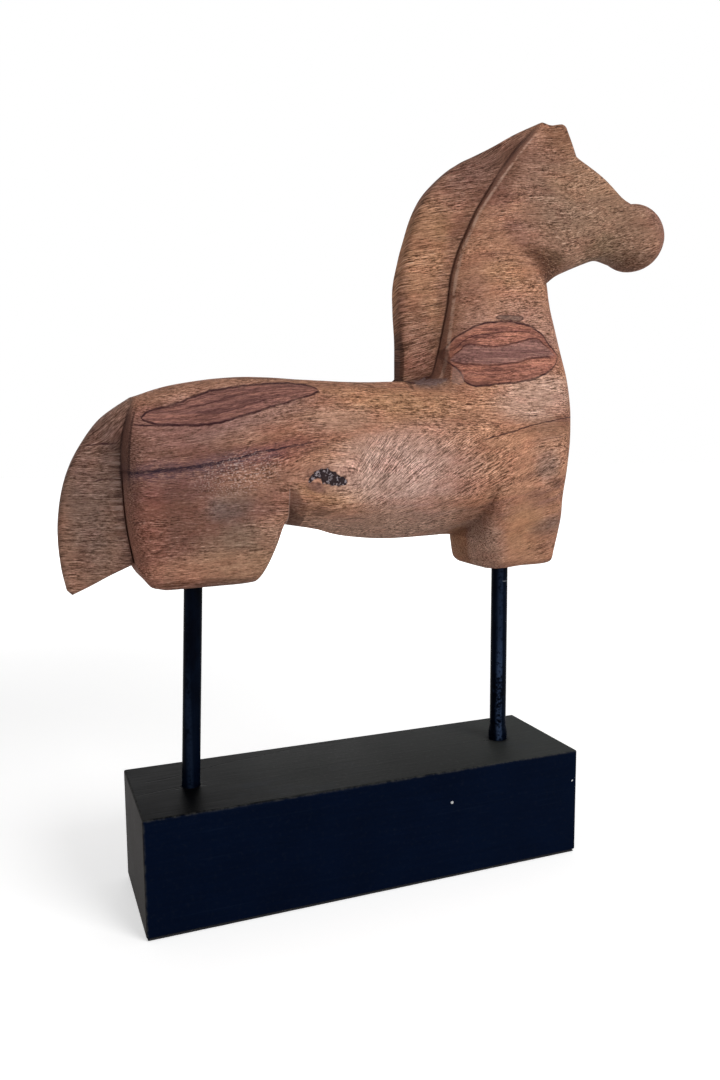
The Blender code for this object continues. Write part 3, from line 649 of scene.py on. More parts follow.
def handWork():                                      # Geometry Nodes: leaves the surface a little uneven
    tree = bpy.data.node_groups.new("handWork", "GeometryNodeTree")
    face = tree.interface
    face.new_socket("Geometry", in_out="INPUT", socket_type="NodeSocketGeometry")
    sockets = {}
    for name, start in (("Depth", 0.0002), ("Size", 0.016), ("Facets", 0.5), ("Seed", 7)):
        made = face.new_socket(name, in_out="INPUT", socket_type="NodeSocketFloat")
        made.default_value = start
        sockets[name] = made.identifier
    finish = face.new_socket("Finish", in_out="INPUT", socket_type="NodeSocketMaterial")
    sockets["Finish"] = finish.identifier
    face.new_socket("Geometry", in_out="OUTPUT", socket_type="NodeSocketGeometry")
    nodes, links = tree.nodes, tree.links

    def put(kind, values=None, **settings):
        node = nodes.new(kind)
        for key, value in settings.items():
            setattr(node, key, value)
        for key, value in (values or {}).items():
            if isinstance(value, bpy.types.NodeSocket):
                links.new(value, node.inputs[key])
            else:
                node.inputs[key].default_value = value
        return node

    given = put("NodeGroupInput").outputs
    place = put("GeometryNodeInputPosition").outputs[0]
    per = put("ShaderNodeMath", {0: 1, 1: given["Size"]}, operation="DIVIDE").outputs[0]
    slow = put("ShaderNodeTexNoise", {"Vector": place, "W": given["Seed"], "Scale": per, "Detail": 2,
                                      "Roughness": 0.45}, noise_dimensions="4D").outputs[0]
    knife = put("ShaderNodeTexVoronoi", {"Vector": place, "Scale": per, "Smoothness": 0.35},
                feature="SMOOTH_F1").outputs["Distance"]
    knife = put("ShaderNodeMath", {0: knife, 1: given["Facets"]}, operation="MULTIPLY").outputs[0]
    both = put("ShaderNodeMath", {0: slow, 1: knife}, operation="SUBTRACT").outputs[0]
    level = put("ShaderNodeMath", {0: both, 1: 0.35}, operation="SUBTRACT").outputs[0]
    lift = put("ShaderNodeMath", {0: level, 1: given["Depth"]}, operation="MULTIPLY").outputs[0]
    normal = put("GeometryNodeInputNormal").outputs[0]
    push = put("ShaderNodeVectorMath", {0: normal, "Scale": lift}, operation="SCALE").outputs[0]
    moved = put("GeometryNodeSetPosition", {"Geometry": given["Geometry"], "Offset": push}).outputs[0]
    whole = put("GeometryNodeRealizeInstances", {"Geometry": moved}).outputs[0]
    dressed = put("GeometryNodeSetMaterial", {"Geometry": whole, "Material": given["Finish"]}).outputs[0]
    put("NodeGroupOutput", {"Geometry": dressed})
    return tree, sockets


def settle(piece, tree, sockets, values):            # runs a tree on a piece and keeps the plain mesh
    step = piece.modifiers.new("work", "NODES")
    step.node_group = tree
    for name, value in values.items():
        step[sockets[name]] = value
    bpy.context.view_layer.update()
    done = bpy.data.meshes.new_from_object(piece.evaluated_get(bpy.context.evaluated_depsgraph_get()))
    piece.modifiers.remove(step)
    old, piece.data = piece.data, done
    bpy.data.meshes.remove(old)
    return piece


# Bare wood

wood = {
    "tan": (0.42, 0.208, 0.124),
    "gold": (0.39, 0.208, 0.106),
    "brown": (0.31, 0.152, 0.094),
    "pale": (0.5, 0.325, 0.255),
    "mauve": (0.37, 0.23, 0.205),
    "olive": (0.27, 0.185, 0.115),
    "haunch": (0.196, 0.095, 0.073),
    "dark": (0.085, 0.035, 0.02),
    "red": (0.235, 0.082, 0.055),
    "plum": (0.105, 0.044, 0.046),
    "grey": (0.125, 0.09, 0.078),
    "charcoal": (0.02, 0.014, 0.017),
    "lines": (0.04, 0.014, 0.016),
    "tailPale": (0.205, 0.115, 0.086),
    "tailDark": (0.142, 0.09, 0.076),
    "pore": (0.062, 0.026, 0.017),
    "glint": (0.62, 0.44, 0.34),
    "rosy": (1, 0.86, 0.86),
    "burlPale": (0.32, 0.142, 0.108),
    "burlDark": (0.176, 0.078, 0.068),
    "redPale": (0.39, 0.158, 0.104),
    "redDark": (0.25, 0.094, 0.07),
    "veinDark": (0.055, 0.02, 0.022),
    "veinPale": (0.44, 0.22, 0.16),
    "bandPale": (0.275, 0.15, 0.128),
    "bandDark": (0.15, 0.076, 0.07),
    "halo": (0.105, 0.06, 0.08),
    "haloDark": (0.03, 0.018, 0.03),
    "core": (0.014, 0.009, 0.018),
    "frost": (0.55, 0.42, 0.38),
    "ash": (0.26, 0.22, 0.235),
    "scorched": (0.16, 0.085, 0.075),
    "dirt": (0.085, 0.038, 0.028),
    "maneShade": (0.1, 0.05, 0.034),
    "maneFlank": (0.25, 0.12, 0.085),
    "maneLine": (0.035, 0.014, 0.011),
    "arris": (0.58, 0.38, 0.29),
    "tailFlank": (0.3, 0.142, 0.1),
    "tailGroove": (0.09, 0.04, 0.03),
    "tailLine": (0.034, 0.014, 0.012),
    "tickDark": (0.045, 0.024, 0.02),
    "tickPale": (0.42, 0.29, 0.24),
    "wedge": (0.135, 0.062, 0.042),
    "wedgeFoot": (0.06, 0.028, 0.019),
    "strip": (0.26, 0.175, 0.15),
    "scoop": (0.115, 0.055, 0.038),
    "footPale": (0.3, 0.19, 0.165),
    "footDark": (0.085, 0.036, 0.026),
    "tornDark": (0.115, 0.072, 0.07),
    "tornPale": (0.25, 0.165, 0.15),
    "heel": (0.032, 0.016, 0.013),
    "reliefDepth": 0.55 * mm,
}

rumpLeafTop = [(-97.4, 213), (-92.7, 215.8), (-84.1, 218), (-68.6, 223.5), (-53.4, 225.9), (-33.9, 227),
               (-25.9, 225.5), (-24, 223.6)]
rumpLeafLow = [(-97.4, 213), (-94.3, 210.9), (-81.4, 209.6), (-72.6, 210.1), (-57.5, 213.7), (-42, 218.2),
               (-28.4, 222), (-24, 223.6)]
neckLeafTop = [(36.8, 240), (40.1, 246.7), (45.1, 250.7), (51.7, 253.7), (61.9, 255.2), (72.3, 255.2),
               (81.5, 251.8), (87.5, 245.6), (92.6, 241.2)]
neckLeafLow = [(36.8, 239.4), (39.6, 235.4), (42, 232.4), (43.4, 228.8), (46.9, 226.9), (60.8, 227.7), (75.5, 229.4),
               (84.5, 232.4), (92.6, 240.6)]
neckBandTop = [(38.6, 238.6), (42.4, 242.2), (47.5, 245), (55, 244.2), (64, 245), (72.4, 247),
               (79, 248.4), (84, 246), (91, 241)]
neckBandLow = [(38.6, 237.6), (44, 236.4), (58.6, 236), (67.8, 237.1), (77.2, 239.2), (91, 240.6)]
burls = [(rumpLeafTop, rumpLeafLow, "burlPale", "burlDark"), (neckLeafTop, neckLeafLow, "redPale", "redDark")]
bodyStreak = [(-104, 191.4), (-88, 192.5), (-73.3, 194), (-58.2, 197), (-46.5, 199.5), (-27.4, 202.6), (-15, 204)]
knotTop = [(-31, 186.6), (-29.6, 188.6), (-28.4, 190), (-25.1, 191.3), (-21.3, 191.5), (-19, 190.4),
           (-17, 188.8), (-14.6, 187.4), (-13, 185.4)]
knotLow = [(-31, 186.2), (-29.6, 185.6), (-28.4, 186.6), (-26, 187.4), (-24.2, 185.4), (-20.1, 184.1),
           (-14.9, 183.9), (-13, 185.2)]
fanRise = [(-20, -72), (-10, -50), (0, -35.5), (10, -24), (20, -15), (30, -8.7), (45, 0), (60, 7.3), (80, 17),
           (92, 24), (104, 33), (116, 43)]
thinLines = [                                        # drawn line, half width, strength
    ([(-102.2, 209.8), (-87.4, 209.6), (-75.8, 209.7), (-60, 213)], 0.4, 1),
    ([(-119, 201.8), (-110, 202.8), (-103, 202.6)], 0.42, 1),
    ([(-116.5, 187.2), (-108, 188.6), (-103.5, 188.5)], 0.36, 0.9),
    ([(-103.5, 182.4), (-101, 182.9), (-97.5, 184.3)], 0.36, 0.9),
    ([(-103.2, 170.9), (-100, 172), (-95.5, 174)], 0.36, 0.8),
    ([(50, 202.6), (66.1, 206.2), (84.8, 210.7), (104.1, 213), (114, 213.3)], 0.42, 1),
    ([(52, 284.6), (64, 285.6), (84, 284.8)], 0.34, 0.45),
    ([(54, 281.9), (66, 282.6), (86, 281.7)], 0.34, 0.4),
    ([(60, 276.4), (72, 277.2), (84, 276.6)], 0.28, 0.35),
    ([(-94, 214.2), (-80, 216.4), (-60, 221.3), (-40, 224.3), (-28, 224.3)], 0.3, 0.6),
    ([(-90, 212.2), (-70, 214.2), (-50, 219.2), (-34, 222.4)], 0.26, 0.55),
    ([(38.6, 240), (43, 245.2), (49, 248.8), (56, 249.6), (64, 250.8), (74, 251.2), (82, 248.4)], 0.36, 0.9),
    ([(44, 232.6), (56, 231.6), (70, 233.4), (84, 236.2)], 0.3, 0.7),
    ([(42.3, 233.8), (43.2, 231.4), (44.6, 229.8), (48, 228.6)], 0.3, 0.6),
    ([(18.6, 231), (20, 229), (21.6, 228.4), (24.1, 228.2), (27.2, 228.6), (30.4, 230.4), (33.4, 231.3),
      (34.9, 230.6), (36, 229.3), (37.6, 227.9)], 0.55, 1),
    ([(-27.6, 172.2), (-26.4, 173.8), (-24.4, 174.8), (-21.6, 174.5), (-18.4, 173.6)], 0.4, 0.8),
    ([(-27, 171.8), (-24, 171.4), (-21.8, 170.8), (-20.6, 169.4)], 0.36, 0.7),
    ([(-13, 168.4), (-9.5, 169.2), (-5, 169.2), (0, 169)], 0.36, 0.7),
]
notchWedge = [(-38.3, 167.5), (-28.2, 165), (-30.5, 175.5), (-35.2, 182.2), (-38.2, 184.2)]
notchFoot = [(-38.3, 165), (-27.6, 163.5), (-29.3, 169.8), (-38.3, 176)]
notchStrip = [(-39.4, 168), (-37.6, 168), (-37.9, 176), (-38.5, 183.5), (-38.9, 183.5)]
footPatch = [(38.4, 227.4), (42.9, 227.4), (43.2, 231.4), (39.4, 235.6)]
footBand = [(36.2, 228.8), (38.2, 228), (39, 236.4), (38.6, 243), (36.8, 243)]
stains = [                                           # middle x and z, reach x and z, turn, colour, strength
    (-78, 186, 52, 62, 0, "haunch", 0.92), (-96, 166, 8, 30, 0, "red", 0.45), (-84, 172, 12, 16, 0, "dark", 0.35),
    (-64, 178, 12, 8, 25, "grey", 0.68), (-60, 164, 9, 12, 0, "grey", 0.4), (-84, 184, 28, 5, 5, "plum", 0.3),
    (-58, 186, 16, 8, 10, "tan", 0.3), (-44, 199, 22, 6, 8, "red", 0.55), (-34, 206, 18, 6, 0, "red", 0.4),
    (-80, 213, 32, 10, 12, "red", 0.35), (-50, 206, 24, 5, 8, "tan", 0.35), (-64, 152, 34, 8, 0, "tan", 0.55),
    (-70, 145.5, 11, 3, 0, "charcoal", 0.45), (-58, 145, 8, 2.5, 0, "charcoal", 0.3),
    (-86, 146.5, 8, 1.6, 4, "dark", 0.6), (-20, 181, 18, 6, -8, "gold", 0.45), (-36, 175, 3, 11, 0, "grey", 0.4),
    (-8, 167, 40, 9, -5, "tan", 0.5), (18, 202, 38, 13, 3, "tan", 0.6), (10, 218, 40, 8, 0, "gold", 0.5),
    (58, 218, 28, 9, 8, "tan", 0.75), (-30, 219, 20, 5, 4, "haunch", 0.5), (-4, 214, 22, 3, -2, "red", 0.2),
    (40, 186, 22, 12, 15, "tan", 0.3), (76, 160, 12, 15, 0, "gold", 0.5), (87, 190, 8, 9, 30, "grey", 0.5),
    (88, 162, 12, 5, 15, "grey", 0.5), (93, 182, 3.5, 3.5, 0, "charcoal", 0.4), (106, 190, 7, 46, 4, "brown", 0.25),
    (30, 228.5, 9, 3, 4, "grey", 0.75), (42, 240, 7, 13, -15, "red", 0.6), (88, 238, 8, 11, 20, "red", 0.5),
    (60, 263, 26, 8, 0, "tan", 0.3), (48, 258, 9, 22, -8, "haunch", 0.45), (66, 277, 14, 7, 0, "gold", 0.35),
    (99, 305, 14, 6, 0, "grey", 0.55), (72, 296, 7, 9, 40, "plum", 0.3), (66, 312, 7, 14, -35, "plum", 0.4),
    (86, 326, 30, 18, -38, "haunch", 0.75), (108, 298, 46, 30, -20, "haunch", 0.75),
    # The dark stains under the jaw, at the throat and under the muzzle are painted shade
    (104, 320, 15, 8, -10, "tan", 0.4), (88, 286, 15, 5, -10, "dark", 0.85), (93, 280, 9, 11, 30, "dark", 0.85),
    (126, 294, 17, 9, 25, "dark", 0.85), (146, 288, 16, 8, 10, "dark", 0.85), (148, 304, 22, 20, 0, "haunch", 0.55),
    (162, 300, 5, 16, 0, "haunch", 0.6), (100, 342, 14, 12, 0, "dark", 0.55), (62, 322, 24, 12, 35, "dark", 0.55),
    (160, 312, 12, 16, 0, "haunch", 0.6), (92, 284, 14, 6, 10, "dark", 0.5), (33, 290, 9, 26, -16, "gold", 0.55),
    (30, 262, 8, 14, 0, "gold", 0.45), (30, 236, 9, 9, 0, "red", 0.5), (58, 326, 18, 8, 35, "grey", 0.4),
    (-112, 205, 9, 12, 50, "plum", 0.25), (8, 190, 34, 18, 0, "pale", 0.8), (50, 190, 20, 13, 10, "brown", 0.6),
    # The tan stain on the back part of the mane is painted light
    (86, 196, 10, 16, 0, "pale", 0.12), (30, 272, 6, 40, -6, "tan", 0.5), (-27, 183.6, 5, 2.4, -20, "plum", 0.6),
    (58, 332, 26, 12, 32, "dark", 0.35), (60, 152, 7, 10, 0, "tan", 0.5), (28, 246, 9, 20, 0, "haunch", 0.55),
    (52, 318, 24, 15, 38, "haunch", 0.55), (-84, 224, 42, 6, 12, "tan", 0.4), (20, 190, 34, 24, 0, "mauve", 0.35),
    # The pale stains on the belly and on the front stump's lower face are painted light, as from the floor
    (-66, 214, 40, 12, 10, "mauve", 0.3), (116, 306, 46, 32, -20, "olive", 0.45), (6, 163, 58, 12, 0, "pale", 0.48),
    (-16, 212, 22, 7, 4, "pale", 0.28), (58, 151, 9, 16, 0, "pale", 0.6), (80, 222, 26, 12, 8, "pale", 0.65),
    (80, 150, 24, 10, 0, "brown", 0.35), (-56, 158, 26, 14, 0, "olive", 0.4), (-116, 168, 12, 30, 0, "olive", 0.35),
    (72, 250, 30, 18, 0, "mauve", 0.3), (-118, 176, 9, 30, 5, "grey", 0.55), (-108, 193, 6, 20, 0, "grey", 0.4),
    (-119, 150, 14, 8, -20, "brown", 0.3),
]


def woodFinish():
    finish, bench, (x, y, z) = newFinish("carvedWood", wood, 0.7, specular=0.06)
    ease, fade, spot, close, between, most = bench.ease, bench.fade, bench.spot, bench.close, bench.between, bench.most
    mane, tail, crease, beside, maneGap, tailGap = (
        bench.add("Attribute", {"attribute_name": name}, (), "Fac")
        for name in ("mane", "tail", "crease", "besideMane", "maneGap", "tailGap"))

    # The far side shows the same growth, a little along and lower
    farSide = ease(y, -6, 6)
    fx = x + 11 * farSide
    fz = z + 4 * farSide

    def grown(along, depth, over, height, *rest):    # a noise stretched along the wood
        return bench.noise((x * along, y * depth, height * over), 1, *rest)

    # Height across the grain. A fan rises ahead of the knot, the rest lies nearly level
    slow = grown(0.016, 0.02, 0.035, z, 2)
    rise = bench.curve(fx, fanRise)
    tame = 0.3 + 0.7 * ease(fz, 154, 190)
    fanned = fz - most(rise, 0) - bench.maths("MINIMUM", rise, 0) * tame
    level = fz - 10 * (ease(fx, -100, -20) - 0.5) * ease(fz, 178, 204)
    level = level - 0.26 * most(fx - 52, 0) * fade(fz, 200, 214)
    level = level - 0.12 * (fx - 60) * ease(fz, 245, 262)
    level = level - 0.16 * (fx - 100) * ease(fx, 90, 112) * ease(fz, 268, 290)
    level = level - mane * (fx - 30) * 0.38 * fade(fz, 238, 264)
    level = level - mane * (fx - 62) * 0.6 * ease(fz, 316, 336)
    level = level - tail * (fx + 114) * 0.85 * ease(fz, 194, 212)

    def bell(middle, reach):
        dx, dz = (fx - middle[0]) / reach[0], (fz - middle[1]) / reach[1]
        return bench.maths("EXPONENT", (dx * dx + dz * dz) * -1)

    byKnot, byNeck = bell((-21, 188), (20, 11)), bell((62, 240), (34, 16))
    across = level - 0.6 * byKnot * (fz - 188) - 0.35 * byNeck * (fz - 240) + 5 * slow
    inFan = ease(fx, -14, -4) * fade(fx, 60, 84) * fade(fz + 5 * slow, 203, 212)

    # Every noise that the colours need
    cloud = grown(0.022, 0.03, 0.05, across, 3, 0.6)
    streak = grown(0.012, 0.06, 0.4, across, 4, 0.65)
    mottle = grown(0.16, 0.2, 0.3, across, 5, 0.75)
    pull = 1 - 0.3 * mane
    deep = y * (1 - 0.9 * most(mane, tail))

    def twoWays(along, depth, over, detail, rough):  # level grain, and the fan laid over it
        flatWay = bench.noise((x * along * pull, deep * depth, across * over), 1, detail, rough)
        fanWay = bench.noise((x * along, deep * depth, fanned * over), 1, detail, rough)
        return flatWay + (fanWay - flatWay) * inFan

    fibre = twoWays(0.1, 0.6, 2.1, 4, 0.76)
    grit = twoWays(0.44, 0.9, 3.4, 2, 0.6)
    nap = bench.noise((x * 1.3, deep * 1.3, across * 1.9), 1, 1)
    patchy = grown(0.05, 0.06, 0.1, fz)
    rosy = grown(0.07, 0.1, 0.16, fz)
    crumbs = bench.noise((x, y, z), 0.75, 4, 0.75)
    specks = grown(0.8, 0.5, 0.9, z, 2, 0.6, 0.6)
    comb = grown(0.06, 0.06, 0.85, z, 2, 0.6)
    rough = grown(0.55, 0.2, 0.55, z, 2, 0.6)
    lz = fz + 1.7 * (grown(0.22, 0.1, 0.22, z, 3) - 0.5)
    rings = grown(0.022, 0.1, 0.85, lz, 4, 0.7)
    nested = []
    for top, low, *_ in burls:
        high, down = bench.curve(fx, top), bench.curve(fx, low)
        share = (lz - down) / most(high - down, 1)
        nested.append(bench.noise((fx * 0.03, y * 0.02, share * 7.5), 1, 3, 0.6))

    # A hair of all of them in the places makes the rest of the shader follow the noises, which keeps it
    # within the renderer's limit
    hair = 1e-7 * (nested[0] + nested[1] + rings + rough + comb + specks + crumbs + rosy + patchy + nap + fibre + grit
                   + cloud + streak + mottle)
    x, z, fx, fz, lz, maneGap, tailGap, crease, beside, mane = (
        wire + hair for wire in (x, z, fx, fz, lz, maneGap, tailGap, crease, beside, mane))

    # Broad colour, then the named stains
    colour = bench.add("ValToRGB", {"stops": [(0.28, "haunch"), (0.45, "brown"), (0.6, "tan")]},
                       ((cloud * 0.5 + streak * 0.5),))
    for midX, midZ, reachX, reachZ, turn, name, strength in stains:
        c, s = turned(turn)
        colour = bench.group(stainTree, Under=colour, X=fx, Z=fz, Mottle=mottle, MidX=midX, MidZ=midZ, A=c / reachX,
                             B=s / reachX, C=c / reachZ, D=s / reachZ, Strength=strength, Colour=wood[name])

    def paint(share, tone, how="MIX"):
        nonlocal colour
        colour = bench.blend(share, colour, tone, how)

    tailTone = bench.blend(mottle, "tailPale", "tailDark")
    paint(tail * 0.55, tailTone)

    # Fibres and open pores, rougher ahead of the knot, calmer on the haunch and the neck
    bold = 1 + 0.2 * mane - 0.2 * tail + 0.3 * spot(fx, fz, (36, 190), (58, 34))
    bold = bold - 0.35 * spot(fx, fz, (-70, 172), (34, 34))
    bold = bold - 0.25 * spot(fx, fz, (150, 302), (24, 24)) - 0.4 * beside
    bold = bold - 0.35 * spot(fx, fz, (84, 162), (30, 30))
    bold = bold - 0.25 * spot(fx, fz, (-2, 218), (62, 16))
    bold = bold * (0.62 + 0.8 * ease(patchy, 0.34, 0.66))
    shade = 1 + (3.4 * (fibre - 0.5) + 4 * (0.5 - grit) + 1.2 * (nap - 0.5)) * bold + 1.2 * (mottle - 0.5)
    shade = most(shade, 0.3)
    colour = bench.times(colour, shade, shade * (0.93 + 0.07 * shade), shade * (0.88 + 0.12 * shade))
    pore = ease(0.55 * grit + 0.45 * (1 - fibre), 0.56, 0.63)
    paint(pore * 0.72 * bold, "pore")
    # Painted highlights: pale glints along the fibres
    glint = ease(0.55 * (1 - grit) + 0.45 * fibre, 0.565, 0.65)
    paint(glint * 0.38 * bold, "glint")
    paint(ease(rosy, 0.48, 0.66) * 0.45, "rosy", "MULTIPLY")

    # Leaf-shaped burls where growth rings graze the surface
    def leaf(top, low, softness):
        high, down = bench.curve(fx, top), bench.curve(fx, low)
        inside = ease(high - fz, 0, softness) * ease(fz - down, 0, softness)
        ends = between(fx, top[0][0], top[0][0] + 0.8, top[-1][0] - 0.8, top[-1][0])
        return inside * ends, high, down

    fz = lz
    lines, calm = None, 0.35 + 0.65 * shade
    for (top, low, pale, dark), vein in zip(burls, nested):
        inside, high, down = leaf(top, low, 0.7)
        tone = bench.times(bench.blend(ease(rings, 0.36, 0.62), pale, dark), calm)
        paint(inside * 0.85, tone)
        paint(inside * ease(vein, 0.53, 0.6) * 0.5, "veinDark")
        paint(inside * fade(vein, 0.38, 0.45) * 0.25, "veinPale")
        edge = close(high - fz, 0.2, 0.75) + close(fz - down, 0.2, 0.75)
        edge = edge * between(fx, top[0][0] - 0.6, top[0][0] + 0.6, top[-1][0] - 0.6, top[-1][0] + 0.6)
        lines = edge if lines is None else most(lines, edge)
    band, _, _ = leaf(neckBandTop, neckBandLow, 0.8)
    tone = bench.times(bench.blend(ease(rings, 0.4, 0.6), "bandPale", "bandDark"), calm)
    paint(band * 0.75, tone)
    for line in (neckBandTop, neckBandLow):
        lines = most(lines, 0.85 * bench.stroke(fx, fz, line, 0.6))
    paint(spot(fx, fz, (67, 257.2), (7.2, 1.15), 1, 0.5) * 0.6, "grey")
    rim = spot(fx, fz, (67, 257.2), (7.6, 1.5), 1, 0.2) - spot(fx, fz, (67, 257.2), (6.6, 0.9), 1, 0.2)
    lines = most(lines, rim * 0.8)
    for drawn, half, strength in thinLines:
        lines = most(lines, strength * bench.stroke(fx, fz, drawn, half))
    paint(lines * (0.55 + 0.45 * ease(mottle, 0.3, 0.6)), "lines")

    # The dark streak from the tail towards the knot, with its purple halo
    off = fz - bench.curve(fx, bodyStreak)
    gone = ease(fx, -62, -18)
    begun = ease(fx, -106, -103.5)
    ragged = ease(mottle * 0.5 + grit * 0.5, 0.36, 0.62)
    wide = bench.size(off + 0.6)
    halo = fade(wide, 0.3, 6.4) * (1 - 0.85 * gone) * begun
    paint(halo * (0.1 + 0.58 * ragged), "halo")
    near = fade(wide, 0.2, 2.2) * begun * fade(fx, -84, -48)
    paint(near * ragged * 0.4, "haloDark")
    thick = bench.size(off) / (1.05 - 0.4 * ease(fx, -82, -50))
    core = fade(thick, 0.3, 0.9) * begun * fade(fx, -44, -12)
    paint(core * (0.45 + 0.45 * ragged), "core")
    # Painted highlights: pale sparkles beside the streak
    frost = spot(fx, fz, (-60, 190), (20, 10), 10, 0.9) * ease(nap, 0.54, 0.68)
    paint(frost * 0.5, "frost")

    # The charred knot, crumbled at its edges
    fz = fz + 2.6 * (rough - 0.5)
    inside, _, _ = leaf(knotTop, knotLow, 0.5)
    coal = bench.blend(ease(specks, 0.51, 0.63), "charcoal", "ash")
    paint(spot(fx, fz, (-21, 187.5), (15, 7.5), -8, 0.9) * 0.4, "scorched")
    paint(inside * 0.97, coal)

    # Painted shade in the creases and down the groove beside the mane, and a painted highlight on the groove's edge
    # Painted shade: darker in the grooves and creases
    paint(crease * (0.15 + 0.6 * mottle), "dirt")
    alongMane = fade(x, 80, 90) * ease(z, 229, 231)
    # Painted shade: darker on the mane beside the groove, on the groove's wall, and a dark line at its foot
    paint(between(maneGap, -6.5, -3, -0.8, -0.3) * alongMane * 0.36, "maneShade")
    paint(between(maneGap, -0.6, -0.3, 0.8, 1.2) * alongMane * 0.45, "maneFlank")
    line = close(maneGap + 0.5, 0.1, 0.5) * alongMane
    paint(line * (0.4 + 0.4 * ragged), "maneLine")
    # Painted highlight along the neck's edge of the groove
    arris = between(maneGap, 0.9, 1.2, 1.6, 2.3) * alongMane
    paint(arris * 0.5 * ease(mottle, 0.36, 0.56), "arris")

    # The groove above the tail, with painted shade at its top and painted shadow lines along it, a reddish flank
    # below, and the ticks of the chisel
    alongTail = fade(z, 213, 219)
    upper = ease(z + 9 * (mottle - 0.5), 182, 192)
    flank = between(tailGap, -0.7, -0.3, 0.8, 1.3) * alongTail
    # Painted shade at the groove's top, the flank's own reddish colour below
    paint(flank * (0.25 + 0.4 * upper), bench.blend(upper, "tailFlank", "tailGroove"))
    line = close(tailGap - 1.4, 0.15, 0.6) * upper
    line = most(line, close(tailGap + 0.7, 0.1, 0.55))
    paint(line * alongTail * (0.12 + 0.28 * ragged + 0.5 * upper), "tailLine")
    onEdge = between(tailGap, -7, -1.6, -0.9, -0.6) * fade(z, 196, 206) * tail
    paint(ease(comb, 0.5, 0.6) * onEdge * 0.6, "tickDark")
    paint(fade(comb, 0.38, 0.46) * onEdge * 0.55, "tickPale")

    # Straight cuts beside the haunch, shown by painted shade on two facets and a painted lit strip, a scoop in the
    # belly, torn wood at the mane's foot with a painted shadow beside it, and painted shade low on the mane's back
    # edge
    # Painted shade on two facets of the haunch's notch and a painted lit strip on its edge
    paint(bench.patch(fx, fz, notchWedge) * 0.45, "wedge")
    paint(bench.patch(fx, fz, notchFoot) * 0.5, "wedgeFoot")
    paint(bench.patch(fx, fz, notchStrip, 0.2) * (0.35 + 0.5 * ragged), "strip")
    paint(spot(fx, fz, (-23.2, 172.6), (4.8, 1.9), -6, 0.4) * 0.55, "scoop")
    paint(bench.patch(fx, fz, footPatch) * 0.45, "footPale")
    # Painted shadow of the mane's edge on the neck beside its foot
    paint(bench.patch(fx, fz, footBand) * 0.65, "footDark")
    torn = spot(fx, fz, (30.5, 228.8), (7, 1.7), 6, 0.3)
    paint(torn * 0.75, bench.blend(ease(crumbs, 0.42, 0.6), "tornDark", "tornPale"))
    # Painted shade on the mane's rear face, low down
    paint(spot(x, z, (21.2, 238), (1.9, 14), 0, 0.4) * 0.6, "heel")

    roughness = 0.6 + 0.22 * mottle + 0.2 * inside - 0.08 * lines
    height = 0.5 + 0.9 * fibre - 0.8 * grit - 0.45 * comb * onEdge
    height = height + 1.2 * inside * (crumbs - 0.9) - 0.6 * core + 0.8 * torn * crumbs
    bench.coat(colour, roughness, height, wood["reliefDepth"])
    return finish


carved = buildHorse()
woodSkin = woodFinish()
tree, sockets = handWork()
settle(carved, tree, sockets, {"Depth": horse["unevenness"], "Size": horse["unevenSize"],
                               "Facets": horse["facets"], "Seed": horse["seed"], "Finish": woodSkin})
carved.data.shade_smooth()
carved.data.set_sharp_from_angle(angle=math.radians(50))
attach(carved, "root")
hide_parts("horse_carving")
print("horse:", len(carved.data.polygons), "faces")


# Black painted block

block = {
    "front": (0.0008, 0.003, 0.0112),
    "top": (0.01, 0.0108, 0.0106),
    "topRight": (0.034, 0.0363, 0.0355),
    "end": (0.023, 0.0196, 0.0186),
    "dim": (0.0003, 0.0004, 0.0008),
    "worn": (0.055, 0.054, 0.05),
    "bare": (0.001, 0.001, 0.0012),
    "shadow": (0.002, 0.002, 0.003),
    "speck": (0.55, 0.55, 0.55),
    "dust": (0.12, 0.12, 0.115),
    "scrape": (0.02, 0.03, 0.055),
    "halfLength": 104,
    "halfDepth": 30,
    "height": 52,
    "cracks": [[(-98, 10), (-86, 11.5), (-60, 19), (-40, 22.5), (-18, 26), (0, 27)],
               [(-104, -4), (-96, -2.5), (-84, -0.5), (-78, 0.4), (-70, 1.5)]],
    "chips": [((70.5, -1.2), (3, 0.9), 10), ((-83.6, -1.6), (2.4, 1.2), 20), ((-74, -2.2), (2.2, 0.9), -20)],
    "sockets": [((-78.4, 0), (6.2, 6.2), 0), ((77.1, 0), (6.4, 6.4), 0)],
}


